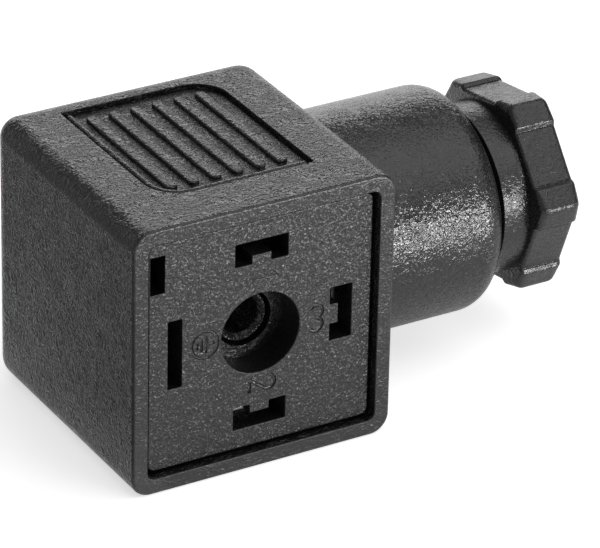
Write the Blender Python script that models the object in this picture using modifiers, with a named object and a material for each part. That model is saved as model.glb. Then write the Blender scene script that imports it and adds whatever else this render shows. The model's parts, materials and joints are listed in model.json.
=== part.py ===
"""Cable plug for a solenoid valve coil: a square housing with a cable gland, and a contact insert.

Metres, +Z up. The plug lies on one flat side of its housing. X runs along the cable gland,
Y runs from the mating face to the rear, and the origin is the centre of the housing's underside.
Depths are measured along Y from the housing's front rim. Four contact stations stand round the
mating axis, and each is modelled in its own frame: X across, Y deep, Z away from the mating axis.
"""
import math

import bmesh
import bpy
from mathutils import Matrix, Vector

MM = 0.001

# Fits
CLEARANCE = 0.3 * MM
INSERT_GAP = 0.35 * MM
SCREW_HOLE_GAP = 0.25 * MM
# How far joined bodies reach into each other, and how far a cutter passes the face it opens
SINK = 0.6 * MM
PIERCE = 1.0 * MM

# Housing
HOUSING_WIDTH = 27.5 * MM
HOUSING_DEPTH = 28.6 * MM
HOUSING_EDGE_RADIUS = 1.9 * MM
HOUSING_BACK_RADIUS = 2.8 * MM
HOUSING_RIM_RADIUS = 0.3 * MM
WALL = 1.6 * MM
BACK_WALL = 2.4 * MM
CAVITY_CORNER_RADIUS = 0.8 * MM

# Ribbed panel in the housing's upper side
PANEL_WIDTH = 16.1 * MM
PANEL_LENGTH = 19.8 * MM
PANEL_CENTRE_DEPTH = 15.25 * MM
PANEL_ROUND_CORNER = 3.4 * MM
PANEL_SHARP_CORNER = 0.3 * MM
PANEL_RECESS = 0.45 * MM
PANEL_MARGIN = 1.7 * MM
RIB_COUNT = 6
RIB_WIDTH = 1.1 * MM
RIB_DROP = 0.1 * MM

# Gland sleeve on the housing
GLAND_AXIS_DEPTH = 16.6 * MM
SLEEVE_RADIUS = 11.3 * MM
SLEEVE_LENGTH = 16.25 * MM
SLEEVE_END_LENGTH = 2.4 * MM
SLEEVE_END_DROP = 1.9 * MM
SLEEVE_LIP = 0.1 * MM
GLAND_SEAT = 0.6 * MM
CABLE_HOLE_RADIUS = 6.2 * MM

# Gland nut, shown partly unscrewed, with its washer and seal
NUT_STANDOFF = 4.0 * MM
NUT_FLANGE = 4.65 * MM
NUT_FLAT_RADIUS = 9.2 * MM
NUT_LOBE_COUNT = 6
NUT_LOBE_REACH = 10.85 * MM
NUT_LOBE_RADIUS = 2.3 * MM
NUT_LOBE_ANGLE = math.radians(8.9)
NUT_EDGE_RADIUS = 0.5 * MM
NUT_NECK_RADIUS = 8.6 * MM
NUT_THREAD_RADIUS = 9.0 * MM
NUT_THREAD_LENGTH = 4.9 * MM
NUT_THREAD_INSET = 0.45 * MM
NUT_SHELL = 2.1 * MM
NUT_CABLE_RADIUS = 5.6 * MM
NUT_MOUTH_CHAMFER = 0.7 * MM
GLAND_WASHER = 1.0 * MM
GROMMET_HOLE_RADIUS = 4.6 * MM
GROMMET_TAPER = 0.8 * MM

# Centre screw, shown withdrawn, with the seal under its head
SCREW_RADIUS = 1.5 * MM
SCREW_LENGTH = 30.0 * MM
SCREW_HEAD_RADIUS = 2.75 * MM
SCREW_HEAD_HEIGHT = 2.0 * MM
SCREW_SLOT_WIDTH = 0.8 * MM
SCREW_SLOT_DEPTH = 0.9 * MM
SCREW_TIP_CHAMFER = 0.4 * MM
SCREW_TRAVEL = 13.5 * MM
SCREW_HEAD_RECESS = 0.4 * MM
SCREW_SEAL = 1.0 * MM
SCREW_SEAL_OVERHANG = 0.5 * MM

# Screw tube inside the housing
TUBE_RADIUS = 2.6 * MM
TUBE_BORE_GAP = 0.45 * MM
TUBE_MOUTH_CHAMFER = 0.4 * MM
TUBE_SETBACK = 0.4 * MM
TUBE_BASE_WALL = 1.6 * MM

# Contact insert
FACE_RECESS = 0.75 * MM
SOCKET_RADIUS = 4.13 * MM
SOCKET_DEPTH = 3.25 * MM
PLATE = 4.2 * MM
PLATE_CORNER_RADIUS = 0.8 * MM
ARM_INSET = 0.3 * MM
ARM_DEPTH = 9.85 * MM
CHEEK = 1.0 * MM
CHEEK_HEIGHT = 2.8 * MM
CHEEK_INSET = 0.2 * MM
CHAMBER_STEP = 0.15 * MM
PRY_NOTCH_WIDTH = 1.5 * MM
PRY_NOTCH_LENGTH = 3.85 * MM
PRY_NOTCH_EDGE = 0.2 * MM
PRY_NOTCH_CORNER = 1.25 * MM

# Blade slots in the insert's face
CONTACT_INSET = 2.8 * MM
BLADE_THICKNESS = 0.8 * MM
LINE_BLADE_WIDTH = 4.8 * MM
EARTH_BLADE_WIDTH = 6.3 * MM
SLOT_END_GAP = 0.38 * MM
SLOT_FACE_GAP = 0.325 * MM
SLOT_LEG_WIDTH = 1.75 * MM
SLOT_LEG_DEPTH = 0.87 * MM
FRONT_LIP = 3.0 * MM

# Stamped contacts
CONTACT_SHEET = 0.6 * MM
RECEPTACLE_LENGTH = 4.4 * MM
BLADE_FIT = 0.1 * MM
RECEPTACLE_LIP_REACH = 1.3 * MM
TAB_INNER_MARGIN = 0.2 * MM

# Terminal screws and wire clamps
TERMINAL_SCREW_RADIUS = 1.5 * MM
TERMINAL_SCREW_LENGTH = 4.5 * MM
TERMINAL_HEAD_RADIUS = 2.4 * MM
TERMINAL_HEAD_HEIGHT = 1.8 * MM
TERMINAL_SLOT_WIDTH = 0.7 * MM
TERMINAL_SLOT_DEPTH = 0.8 * MM
TERMINAL_TIP_CHAMFER = 0.3 * MM
CLAMP_LENGTH = 4.6 * MM
CLAMP_SHEET = 0.8 * MM
CLAMP_ARCH = 0.45 * MM
CLAMP_CROWN = 1.9 * MM

# Facets round a turned piece and along a rounded edge
LARGE_TURN_STEPS = 48
SMALL_TURN_STEPS = 24
ROUND_SEGMENTS = 4
LOBE_SEGMENTS = 6

# Places worked out from the driving sizes
FRONT_Y = -HOUSING_DEPTH / 2
AXIS_Z = HOUSING_WIDTH / 2
HALF_WIDTH = HOUSING_WIDTH / 2
CAVITY_HALF = HALF_WIDTH - WALL
INSERT_HALF = CAVITY_HALF - INSERT_GAP
CONTACT_RADIUS = INSERT_HALF - CONTACT_INSET
SLEEVE_END = HALF_WIDTH + SLEEVE_LENGTH
GLAND_BORE_RADIUS = NUT_THREAD_RADIUS + CLEARANCE
SEAT_X = HALF_WIDTH + GLAND_SEAT
FLANGE_X = SLEEVE_END + NUT_STANDOFF
NUT_END_X = FLANGE_X + NUT_FLANGE
THREAD_OUTER_X = SLEEVE_END - NUT_THREAD_INSET
THREAD_INNER_X = THREAD_OUTER_X - NUT_THREAD_LENGTH
WASHER_OUTER_X = THREAD_INNER_X - CLEARANCE
WASHER_INNER_X = WASHER_OUTER_X - GLAND_WASHER
SCREW_SEAL_RADIUS = SCREW_HEAD_RADIUS + SCREW_SEAL_OVERHANG
COUNTERBORE_RADIUS = SCREW_SEAL_RADIUS + CLEARANCE
COUNTERBORE_DEPTH = SCREW_HEAD_RECESS + SCREW_HEAD_HEIGHT + SCREW_SEAL + 2 * CLEARANCE
COUNTERBORE_FLOOR = HOUSING_DEPTH - COUNTERBORE_DEPTH
SCREW_SEAL_DEPTH = COUNTERBORE_FLOOR + CLEARANCE + SCREW_TRAVEL
SCREW_HEAD_DEPTH = SCREW_SEAL_DEPTH + SCREW_SEAL + CLEARANCE
TUBE_FRONT = FACE_RECESS + SOCKET_DEPTH + TUBE_SETBACK
TUBE_BORE_RADIUS = SCREW_RADIUS + TUBE_BORE_GAP
ARM_REAR = FACE_RECESS + ARM_DEPTH
CONTACT_FRONT = FACE_RECESS + FRONT_LIP + CLEARANCE
BASE_Z = CONTACT_RADIUS + BLADE_THICKNESS / 2 + BLADE_FIT + CONTACT_SHEET / 2
LIP_Z = CONTACT_RADIUS - BLADE_THICKNESS / 2 - BLADE_FIT - CONTACT_SHEET / 2
TAB_FRONT = ARM_REAR + CLEARANCE
TAB_REAR = TAB_FRONT + CONTACT_SHEET
CLAMP_FRONT = TAB_REAR + CLEARANCE
CLAMP_REAR = CLAMP_FRONT + CLAMP_ARCH + CLAMP_SHEET
TERMINAL_HEAD_DEPTH = CLAMP_REAR + CLEARANCE
TERMINAL_SCREW_Z = BASE_Z - CONTACT_SHEET / 2 - CLEARANCE - TERMINAL_HEAD_RADIUS

# Directions of pieces that are drawn flat or turned upright
TURNED_ALONG_X = (0.0, math.pi / 2, 0.0)
TURNED_ALONG_Y = (-math.pi / 2, 0.0, 0.0)
DRAWN_ACROSS_X = (math.pi / 2, 0.0, math.pi / 2)
DRAWN_ACROSS_Y = (math.pi / 2, 0.0, 0.0)
DRAWN_ACROSS_Z = (0.0, 0.0, 0.0)

# Stations round the mating axis: the name, the angle from upright, and the blade's width
STATIONS = (
    ("1", 0.0, LINE_BLADE_WIDTH),
    ("2", math.pi, LINE_BLADE_WIDTH),
    ("3", math.pi / 2, LINE_BLADE_WIDTH),
    ("earth", -math.pi / 2, EARTH_BLADE_WIDTH),
)


def clear_scene():
    """Remove every object of the scene."""
    for item in list(bpy.data.objects):
        bpy.data.objects.remove(item, do_unlink=True)


def make_collection(name):
    """Return a new collection under the scene."""
    collection = bpy.data.collections.new(name)
    bpy.context.scene.collection.children.link(collection)
    return collection


def make_finish(name, colour, roughness, metallic=0.0):
    """Return a plain material of one colour."""
    finish = bpy.data.materials.new(name)
    finish.use_nodes = True
    shader = finish.node_tree.nodes["Principled BSDF"]
    shader.inputs["Base Color"].default_value = (*colour, 1.0)
    shader.inputs["Roughness"].default_value = roughness
    shader.inputs["Metallic"].default_value = metallic
    return finish


clear_scene()
PARTS = make_collection("solenoid_coil_plug")
CUTTERS = make_collection("solenoid_coil_plug_cutters")
BLACK_NYLON = make_finish("black_nylon", (0.022, 0.022, 0.024), 0.55)
BLACK_RUBBER = make_finish("black_rubber", (0.015, 0.015, 0.015), 0.8)
GREY_NYLON = make_finish("grey_nylon", (0.2, 0.2, 0.2), 0.6)
TINNED_BRASS = make_finish("tinned_brass", (0.72, 0.7, 0.64), 0.3, 1.0)
ZINC_STEEL = make_finish("zinc_steel", (0.66, 0.67, 0.7), 0.32, 1.0)


def make_empty(name, location, rotation=(0.0, 0.0, 0.0)):
    """Return an empty that carries the pieces of one axis."""
    empty = bpy.data.objects.new(name, None)
    empty.location = location
    empty.rotation_euler = rotation
    PARTS.objects.link(empty)
    return empty


def place(mesh, name, location, rotation, carrier):
    """Return an object of the cutters' collection with the mesh in its place."""
    piece = bpy.data.objects.new(name, mesh)
    piece.location = location
    piece.rotation_euler = rotation
    piece.parent = carrier
    piece.hide_render = True
    piece.display_type = "WIRE"
    CUTTERS.objects.link(piece)
    return piece


def make_part(piece, name, finish):
    """Turn a working body into a named part of the plug."""
    CUTTERS.objects.unlink(piece)
    PARTS.objects.link(piece)
    piece.name = name
    piece.hide_render = False
    piece.display_type = "TEXTURED"
    piece.data.materials.clear()
    piece.data.materials.append(finish)
    return piece


def make_box(name, low, high, carrier):
    """Return a box between two corners."""
    low = Vector(low)
    high = Vector(high)
    size = high - low
    body = bmesh.new()
    bmesh.ops.create_cube(body, size=1.0, matrix=Matrix.Translation((low + high) / 2) @ Matrix.Diagonal((*size, 1.0)))
    mesh = bpy.data.meshes.new(name)
    body.to_mesh(mesh)
    body.free()
    return place(mesh, name, (0.0, 0.0, 0.0), (0.0, 0.0, 0.0), carrier)


def make_turned(name, profile, steps, location, rotation, carrier, start=0.0):
    """Return a body turned about its own Z from (radius, height) points that run down its outer side.

    A profile that doesn't start on the axis is closed into a ring. The first facet starts at an angle.
    """
    across, along = math.cos(start), math.sin(start)
    body = bmesh.new()
    points = [body.verts.new((radius * across, radius * along, height)) for radius, height in profile]
    for first, second in zip(points, points[1:]):
        body.edges.new((first, second))
    if profile[0][0] > 0.0:
        body.edges.new((points[-1], points[0]))
    mesh = bpy.data.meshes.new(name)
    body.to_mesh(mesh)
    body.free()
    piece = place(mesh, name, location, rotation, carrier)
    turn = piece.modifiers.new("turn", "SCREW")
    turn.steps = steps
    turn.render_steps = steps
    turn.use_merge_vertices = True
    turn.merge_threshold = 1e-7
    return piece


def make_bore(name, profile, steps, location, rotation, carrier):
    """Return a turned cutter, with its facets half a step round from those of the body that it cuts."""
    return make_turned(name, profile, steps, location, rotation, carrier, math.pi / steps)


def make_prism(name, outline, thickness, location, rotation, carrier):
    """Return a flat outline thickened evenly to both sides of its plane."""
    curve = bpy.data.curves.new(name, "CURVE")
    curve.dimensions = "2D"
    curve.fill_mode = "BOTH"
    curve.extrude = thickness / 2
    spline = curve.splines.new("POLY")
    spline.points.add(len(outline) - 1)
    for point, (across, along) in zip(spline.points, outline):
        point.co = (across, along, 0.0, 1.0)
    spline.use_cyclic_u = True
    drawing = bpy.data.objects.new(name, curve)
    CUTTERS.objects.link(drawing)
    depsgraph = bpy.context.evaluated_depsgraph_get()
    mesh = bpy.data.meshes.new_from_object(drawing.evaluated_get(depsgraph))
    bpy.data.objects.remove(drawing, do_unlink=True)
    body = bmesh.new()
    body.from_mesh(mesh)
    bmesh.ops.remove_doubles(body, verts=body.verts, dist=1e-7)
    bmesh.ops.recalc_face_normals(body, faces=body.faces)
    body.to_mesh(mesh)
    body.free()
    return place(mesh, name, location, rotation, carrier)


def combine(piece, other, operation):
    """Join another body to a piece, or cut it away."""
    boolean = piece.modifiers.new(other.name, "BOOLEAN")
    boolean.operation = operation
    boolean.solver = "EXACT"
    boolean.object = other


def join(piece, *others):
    """Join other bodies to a piece."""
    for other in others:
        combine(piece, other, "UNION")


def cut(piece, *others):
    """Cut other bodies out of a piece."""
    for other in others:
        combine(piece, other, "DIFFERENCE")


def round_edges(piece, radius_of_edge):
    """Round a box's edges, each by the radius given for its middle and direction, zero for a sharp one."""
    mesh = piece.data
    radii = []
    for edge in mesh.edges:
        first, second = (mesh.vertices[index].co for index in edge.vertices)
        radii.append(radius_of_edge((first + second) / 2, second - first))
    largest = max(radii)
    weights = mesh.attributes.new("bevel_weight_edge", "FLOAT", "EDGE")
    for index, radius in enumerate(radii):
        weights.data[index].value = radius / largest
    bevel = piece.modifiers.new("rounding", "BEVEL")
    bevel.limit_method = "WEIGHT"
    bevel.width = largest
    bevel.segments = ROUND_SEGMENTS


def smooth(piece):
    """Shade a piece smooth except at its real edges."""
    piece.data.shade_smooth()
    piece.data.set_sharp_from_angle(angle=math.radians(35.0))


def arc(centre, radius, start, end, segments):
    """Return the points of an arc, both ends included."""
    angles = [start + (end - start) * step / segments for step in range(segments + 1)]
    return [(centre[0] + radius * math.cos(a), centre[1] + radius * math.sin(a)) for a in angles]


def rounded_rectangle(width, length, radii):
    """Return a rectangle about the origin, each corner rounded by its own radius from the far right one on."""
    points = []
    for quarter, (side, end) in enumerate(((1, 1), (-1, 1), (-1, -1), (1, -1))):
        radius = radii[quarter]
        centre = (side * (width / 2 - radius), end * (length / 2 - radius))
        start = quarter * math.pi / 2
        points += arc(centre, radius, start, start + math.pi / 2, ROUND_SEGMENTS)
    return points


def sheet_outline(path, thickness):
    """Return the outline of a bent sheet from the middle line of its section."""
    left = []
    right = []
    for index, point in enumerate(path):
        here = Vector(point)
        before = here - Vector(path[max(index - 1, 0)])
        after = Vector(path[min(index + 1, len(path) - 1)]) - here
        directions = [run.normalized() for run in (before, after) if run.length > 0.0]
        normals = [Vector((-run.y, run.x)) for run in directions]
        mitre = sum(normals, Vector((0.0, 0.0))).normalized()
        reach = thickness / 2 / mitre.dot(normals[0])
        left.append(tuple(here + mitre * reach))
        right.append(tuple(here - mitre * reach))
    return left + right[::-1]


def screw_profile(radius, length, head_radius, head_height, tip_chamfer):
    """Return the turned profile of a cheese head screw, its tip down and its head's underside at zero."""
    crown = head_height / 5
    return [
        (0.0, head_height),
        (head_radius - crown, head_height),
        (head_radius, head_height - crown),
        (head_radius, 0.0),
        (radius, 0.0),
        (radius, tip_chamfer - length),
        (radius - tip_chamfer, -length),
        (0.0, -length),
    ]


def make_screw(name, sizes, slot, location, carrier):
    """Return a slotted screw that points to the mating face."""
    radius, length, head_radius, head_height, tip_chamfer = sizes
    profile = screw_profile(radius, length, head_radius, head_height, tip_chamfer)
    screw = make_turned(name, profile, SMALL_TURN_STEPS, location, TURNED_ALONG_Y, carrier)
    slot_width, slot_depth = slot
    half_length = head_radius + PIERCE
    low = (-half_length, head_height - slot_depth, -slot_width / 2)
    high = (half_length, head_height + PIERCE, slot_width / 2)
    slot_cutter = make_box(name + "_slot", low, high, carrier)
    slot_cutter.location = location
    cut(screw, slot_cutter)
    smooth(screw)
    return make_part(screw, name, ZINC_STEEL)


def half_contact_width(blade_width):
    """Return half the outer width of a contact that takes a blade."""
    return blade_width / 2 + BLADE_FIT + CONTACT_SHEET


ARM_HALF_WIDTH = half_contact_width(EARTH_BLADE_WIDTH) + CLEARANCE + CHAMBER_STEP + CHEEK
GRIP_HALF_WIDTH = half_contact_width(LINE_BLADE_WIDTH)


def make_housing(mating_axis, gland_axis):
    """The moulded shell: box, gland sleeve, wire space, screw tube and ribbed panel."""
    low = (-HALF_WIDTH, 0.0, -HALF_WIDTH)
    high = (HALF_WIDTH, HOUSING_DEPTH, HALF_WIDTH)
    housing = make_box("housing_body", low, high, mating_axis)

    def housing_radius(middle, direction):
        if abs(direction.y) > PIERCE:
            return HOUSING_EDGE_RADIUS
        if middle.y > HOUSING_DEPTH / 2:
            return HOUSING_BACK_RADIUS
        return HOUSING_RIM_RADIUS

    round_edges(housing, housing_radius)
    join(housing, make_sleeve(gland_axis))

    low = (-CAVITY_HALF, -PIERCE, -CAVITY_HALF)
    high = (CAVITY_HALF, HOUSING_DEPTH - BACK_WALL, CAVITY_HALF)
    cavity = make_box("housing_cavity", low, high, mating_axis)
    round_edges(cavity, lambda middle, direction: CAVITY_CORNER_RADIUS if abs(direction.y) > PIERCE else 0.0)
    cut(housing, cavity, make_gland_bore(gland_axis))

    join(housing, make_tube(mating_axis))
    cut(housing, make_screw_bore(mating_axis))
    cut(housing, make_panel(mating_axis))
    join(housing, make_ribs(mating_axis))
    smooth(housing)
    return make_part(housing, "housing", BLACK_NYLON)


def make_sleeve(gland_axis):
    """The round sleeve that the gland nut screws into, its end rounded over to the bore's lip."""
    wall = SLEEVE_RADIUS - GLAND_BORE_RADIUS
    drop = min(SLEEVE_END_DROP, wall - SLEEVE_LIP)
    shoulder = SLEEVE_END - SLEEVE_END_LENGTH
    profile = [(0.0, SLEEVE_END)]
    for across, along in arc((0.0, 0.0), 1.0, math.pi / 2, 0.0, ROUND_SEGMENTS):
        profile.append((SLEEVE_RADIUS - drop * (1.0 - across), shoulder + SLEEVE_END_LENGTH * along))
    profile += [(SLEEVE_RADIUS, CAVITY_HALF + SINK), (0.0, CAVITY_HALF + SINK)]
    return make_turned("sleeve", profile, LARGE_TURN_STEPS, (0.0, 0.0, 0.0), TURNED_ALONG_X, gland_axis)


def make_gland_bore(gland_axis):
    """The stepped bore of the sleeve, from its mouth through the seat into the wire space."""
    profile = [
        (0.0, SLEEVE_END + PIERCE),
        (GLAND_BORE_RADIUS, SLEEVE_END + PIERCE),
        (GLAND_BORE_RADIUS, SEAT_X),
        (CABLE_HOLE_RADIUS, SEAT_X),
        (CABLE_HOLE_RADIUS, CAVITY_HALF - PIERCE),
        (0.0, CAVITY_HALF - PIERCE),
    ]
    return make_bore("gland_bore", profile, LARGE_TURN_STEPS, (0.0, 0.0, 0.0), TURNED_ALONG_X, gland_axis)


def make_tube(mating_axis):
    """The tube that guides the centre screw, on a stout base at the rear wall."""
    base_radius = COUNTERBORE_RADIUS + TUBE_BASE_WALL
    base_front = COUNTERBORE_FLOOR - TUBE_BASE_WALL
    rear = HOUSING_DEPTH - BACK_WALL + SINK
    profile = [
        (0.0, rear),
        (base_radius, rear),
        (base_radius, base_front),
        (TUBE_RADIUS, base_front),
        (TUBE_RADIUS, TUBE_FRONT),
        (0.0, TUBE_FRONT),
    ]
    return make_turned("screw_tube", profile, SMALL_TURN_STEPS, (0.0, 0.0, 0.0), TURNED_ALONG_Y, mating_axis)


def make_screw_bore(mating_axis):
    """The centre screw's bore, chamfered at the front and counterbored for the head at the rear."""
    mouth_radius = TUBE_BORE_RADIUS + TUBE_MOUTH_CHAMFER
    profile = [
        (0.0, HOUSING_DEPTH + PIERCE),
        (COUNTERBORE_RADIUS, HOUSING_DEPTH + PIERCE),
        (COUNTERBORE_RADIUS, COUNTERBORE_FLOOR),
        (TUBE_BORE_RADIUS, COUNTERBORE_FLOOR),
        (TUBE_BORE_RADIUS, TUBE_FRONT + TUBE_MOUTH_CHAMFER),
        (mouth_radius + PIERCE, TUBE_FRONT - PIERCE),
        (0.0, TUBE_FRONT - PIERCE),
    ]
    return make_bore("screw_bore", profile, SMALL_TURN_STEPS, (0.0, 0.0, 0.0), TURNED_ALONG_Y, mating_axis)


def make_panel(mating_axis):
    """The shallow recess in the upper side, with two opposite corners round."""
    radii = (PANEL_ROUND_CORNER, PANEL_SHARP_CORNER, PANEL_ROUND_CORNER, PANEL_SHARP_CORNER)
    outline = rounded_rectangle(PANEL_WIDTH, PANEL_LENGTH, radii)
    centre = (0.0, PANEL_CENTRE_DEPTH, HALF_WIDTH)
    return make_prism("panel_recess", outline, 2 * PANEL_RECESS, centre, DRAWN_ACROSS_Z, mating_axis)


def make_ribs(mating_axis):
    """The straight ribs that stand in the recess, as one body for joining."""
    span = PANEL_WIDTH - 2 * PANEL_MARGIN - RIB_WIDTH
    pitch = span / (RIB_COUNT - 1)
    length = PANEL_LENGTH - 2 * PANEL_MARGIN
    top = HALF_WIDTH - RIB_DROP
    bottom = HALF_WIDTH - PANEL_RECESS - SINK
    body = bmesh.new()
    for index in range(RIB_COUNT):
        centre = Vector((-span / 2 + index * pitch, PANEL_CENTRE_DEPTH, (top + bottom) / 2))
        size = (RIB_WIDTH, length, top - bottom, 1.0)
        bmesh.ops.create_cube(body, size=1.0, matrix=Matrix.Translation(centre) @ Matrix.Diagonal(size))
    mesh = bpy.data.meshes.new("panel_ribs")
    body.to_mesh(mesh)
    body.free()
    return place(mesh, "panel_ribs", (0.0, 0.0, 0.0), (0.0, 0.0, 0.0), mating_axis)


def nut_outline():
    """The flange's outline: flats of a hexagon with a round lobe proud of each corner."""
    centre_radius = NUT_LOBE_REACH - NUT_LOBE_RADIUS
    half_step = math.pi / NUT_LOBE_COUNT
    flat_distance = NUT_FLAT_RADIUS - centre_radius * math.cos(half_step)
    half_sweep = math.acos(flat_distance / NUT_LOBE_RADIUS) + half_step
    points = []
    for index in range(NUT_LOBE_COUNT):
        # Lobes are counted from the mating side towards the top
        direction = math.pi - NUT_LOBE_ANGLE - 2 * half_step * index
        centre = (centre_radius * math.cos(direction), centre_radius * math.sin(direction))
        points += arc(centre, NUT_LOBE_RADIUS, direction + half_sweep, direction - half_sweep, LOBE_SEGMENTS)
    return points


def make_gland_nut(gland_axis):
    """The clamping nut: lobed flange, smooth neck and thread, with the cable's bore through them."""
    centre = (FLANGE_X + NUT_FLANGE / 2, 0.0, 0.0)
    nut = make_prism("nut_body", nut_outline(), NUT_FLANGE, centre, DRAWN_ACROSS_X, gland_axis)
    bevel = nut.modifiers.new("rounding", "BEVEL")
    bevel.width = NUT_EDGE_RADIUS
    bevel.segments = 2
    bevel.limit_method = "ANGLE"
    bevel.angle_limit = math.radians(75.0)
    profile = [
        (0.0, FLANGE_X + SINK),
        (NUT_NECK_RADIUS, FLANGE_X + SINK),
        (NUT_NECK_RADIUS, THREAD_OUTER_X),
        (NUT_THREAD_RADIUS, THREAD_OUTER_X - (NUT_THREAD_RADIUS - NUT_NECK_RADIUS)),
        (NUT_THREAD_RADIUS, THREAD_INNER_X + (NUT_THREAD_RADIUS - NUT_NECK_RADIUS)),
        (NUT_NECK_RADIUS, THREAD_INNER_X),
        (0.0, THREAD_INNER_X),
    ]
    join(nut, make_turned("nut_neck", profile, LARGE_TURN_STEPS, (0.0, 0.0, 0.0), TURNED_ALONG_X, gland_axis))
    inner_radius = NUT_THREAD_RADIUS - NUT_SHELL
    step = inner_radius - NUT_CABLE_RADIUS
    mouth_radius = NUT_CABLE_RADIUS + NUT_MOUTH_CHAMFER
    profile = [
        (0.0, NUT_END_X + PIERCE),
        (mouth_radius + PIERCE, NUT_END_X + PIERCE),
        (NUT_CABLE_RADIUS, NUT_END_X - NUT_MOUTH_CHAMFER),
        (NUT_CABLE_RADIUS, FLANGE_X),
        (inner_radius, FLANGE_X - step),
        (inner_radius, THREAD_INNER_X - PIERCE),
        (0.0, THREAD_INNER_X - PIERCE),
    ]
    cut(nut, make_bore("nut_bore", profile, LARGE_TURN_STEPS, (0.0, 0.0, 0.0), TURNED_ALONG_X, gland_axis))
    smooth(nut)
    return make_part(nut, "gland_nut", BLACK_NYLON)


def make_gland_washer(gland_axis):
    """The flat ring between the nut and the seal."""
    outer = GLAND_BORE_RADIUS - CLEARANCE
    inner = NUT_CABLE_RADIUS
    profile = [
        (outer, WASHER_OUTER_X),
        (outer, WASHER_INNER_X),
        (inner, WASHER_INNER_X),
        (inner, WASHER_OUTER_X),
    ]
    steps = LARGE_TURN_STEPS
    washer = make_turned("washer_body", profile, steps, (0.0, 0.0, 0.0), TURNED_ALONG_X, gland_axis)
    smooth(washer)
    return make_part(washer, "gland_washer", GREY_NYLON)


def make_gland_grommet(gland_axis):
    """The rubber seal that the nut squeezes onto the cable."""
    outer = GLAND_BORE_RADIUS - CLEARANCE
    inner = GROMMET_HOLE_RADIUS
    rear = WASHER_INNER_X - CLEARANCE
    front = SEAT_X + CLEARANCE
    profile = [
        (outer - GROMMET_TAPER, rear),
        (outer, rear - GROMMET_TAPER),
        (outer, front + GROMMET_TAPER),
        (outer - GROMMET_TAPER, front),
        (inner + GROMMET_TAPER, front),
        (inner, front + GROMMET_TAPER),
        (inner, rear - GROMMET_TAPER),
        (inner + GROMMET_TAPER, rear),
    ]
    steps = LARGE_TURN_STEPS
    grommet = make_turned("grommet_body", profile, steps, (0.0, 0.0, 0.0), TURNED_ALONG_X, gland_axis)
    smooth(grommet)
    return make_part(grommet, "gland_grommet", BLACK_RUBBER)


def make_centre_screw(mating_axis):
    """The long screw that holds the plug to the coil, with the seal under its head."""
    sizes = (SCREW_RADIUS, SCREW_LENGTH, SCREW_HEAD_RADIUS, SCREW_HEAD_HEIGHT, SCREW_TIP_CHAMFER)
    slot = (SCREW_SLOT_WIDTH, SCREW_SLOT_DEPTH)
    make_screw("centre_screw", sizes, slot, (0.0, SCREW_HEAD_DEPTH, 0.0), mating_axis)
    inner = SCREW_RADIUS + SCREW_HOLE_GAP
    round_off = SCREW_SEAL / 4
    profile = [
        (SCREW_SEAL_RADIUS - round_off, SCREW_SEAL),
        (SCREW_SEAL_RADIUS, SCREW_SEAL - round_off),
        (SCREW_SEAL_RADIUS, round_off),
        (SCREW_SEAL_RADIUS - round_off, 0.0),
        (inner, 0.0),
        (inner, SCREW_SEAL),
    ]
    location = (0.0, SCREW_SEAL_DEPTH, 0.0)
    seal = make_turned("seal_body", profile, SMALL_TURN_STEPS, location, TURNED_ALONG_Y, mating_axis)
    smooth(seal)
    return make_part(seal, "screw_seal", BLACK_RUBBER)


def make_insert(mating_axis, stations):
    """The contact carrier: face plate, crossed arms, terminal walls and everything cut into them."""
    low = (-INSERT_HALF, FACE_RECESS, -INSERT_HALF)
    high = (INSERT_HALF, FACE_RECESS + PLATE, INSERT_HALF)
    insert = make_box("insert_plate", low, high, mating_axis)
    round_edges(insert, lambda middle, direction: PLATE_CORNER_RADIUS if direction.length < 2 * PLATE else 0.0)
    arm_end = INSERT_HALF - ARM_INSET
    arm_front = FACE_RECESS + PLATE - SINK
    low = (-ARM_HALF_WIDTH, arm_front, -arm_end)
    high = (ARM_HALF_WIDTH, ARM_REAR, arm_end)
    upright = make_box("upright_arms", low, high, mating_axis)
    level = make_box("level_arms", low, high, mating_axis)
    level.rotation_euler = (0.0, math.pi / 2, 0.0)
    join(upright, level)
    join(insert, upright)
    for (name, _, blade_width), station in zip(STATIONS, stations):
        join(insert, make_terminal_wall(name, blade_width, station))
    for (name, _, blade_width), station in zip(STATIONS, stations):
        cut(insert, *make_contact_cuts(name, blade_width, station))
    cut(insert, make_socket(mating_axis), make_pry_notch(mating_axis))
    smooth(insert)
    return make_part(insert, "contact_insert", BLACK_NYLON)


def make_terminal_wall(name, blade_width, station):
    """The wall round three sides of a terminal, standing on the arm's rear."""
    inner = half_contact_width(blade_width) + CLEARANCE + CHAMBER_STEP
    inner_end = BASE_Z + CONTACT_SHEET / 2 + CLEARANCE + CHAMBER_STEP
    outer = ARM_HALF_WIDTH - CHEEK_INSET
    outer_end = INSERT_HALF - ARM_INSET - CHEEK_INSET
    start = TERMINAL_SCREW_Z
    outline = [
        (outer, start),
        (outer, outer_end),
        (-outer, outer_end),
        (-outer, start),
        (-inner, start),
        (-inner, inner_end),
        (inner, inner_end),
        (inner, start),
    ]
    height = CHEEK_HEIGHT + SINK
    centre = (0.0, ARM_REAR + (CHEEK_HEIGHT - SINK) / 2, 0.0)
    return make_prism("terminal_wall_" + name, outline, height, centre, DRAWN_ACROSS_Y, station)


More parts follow.
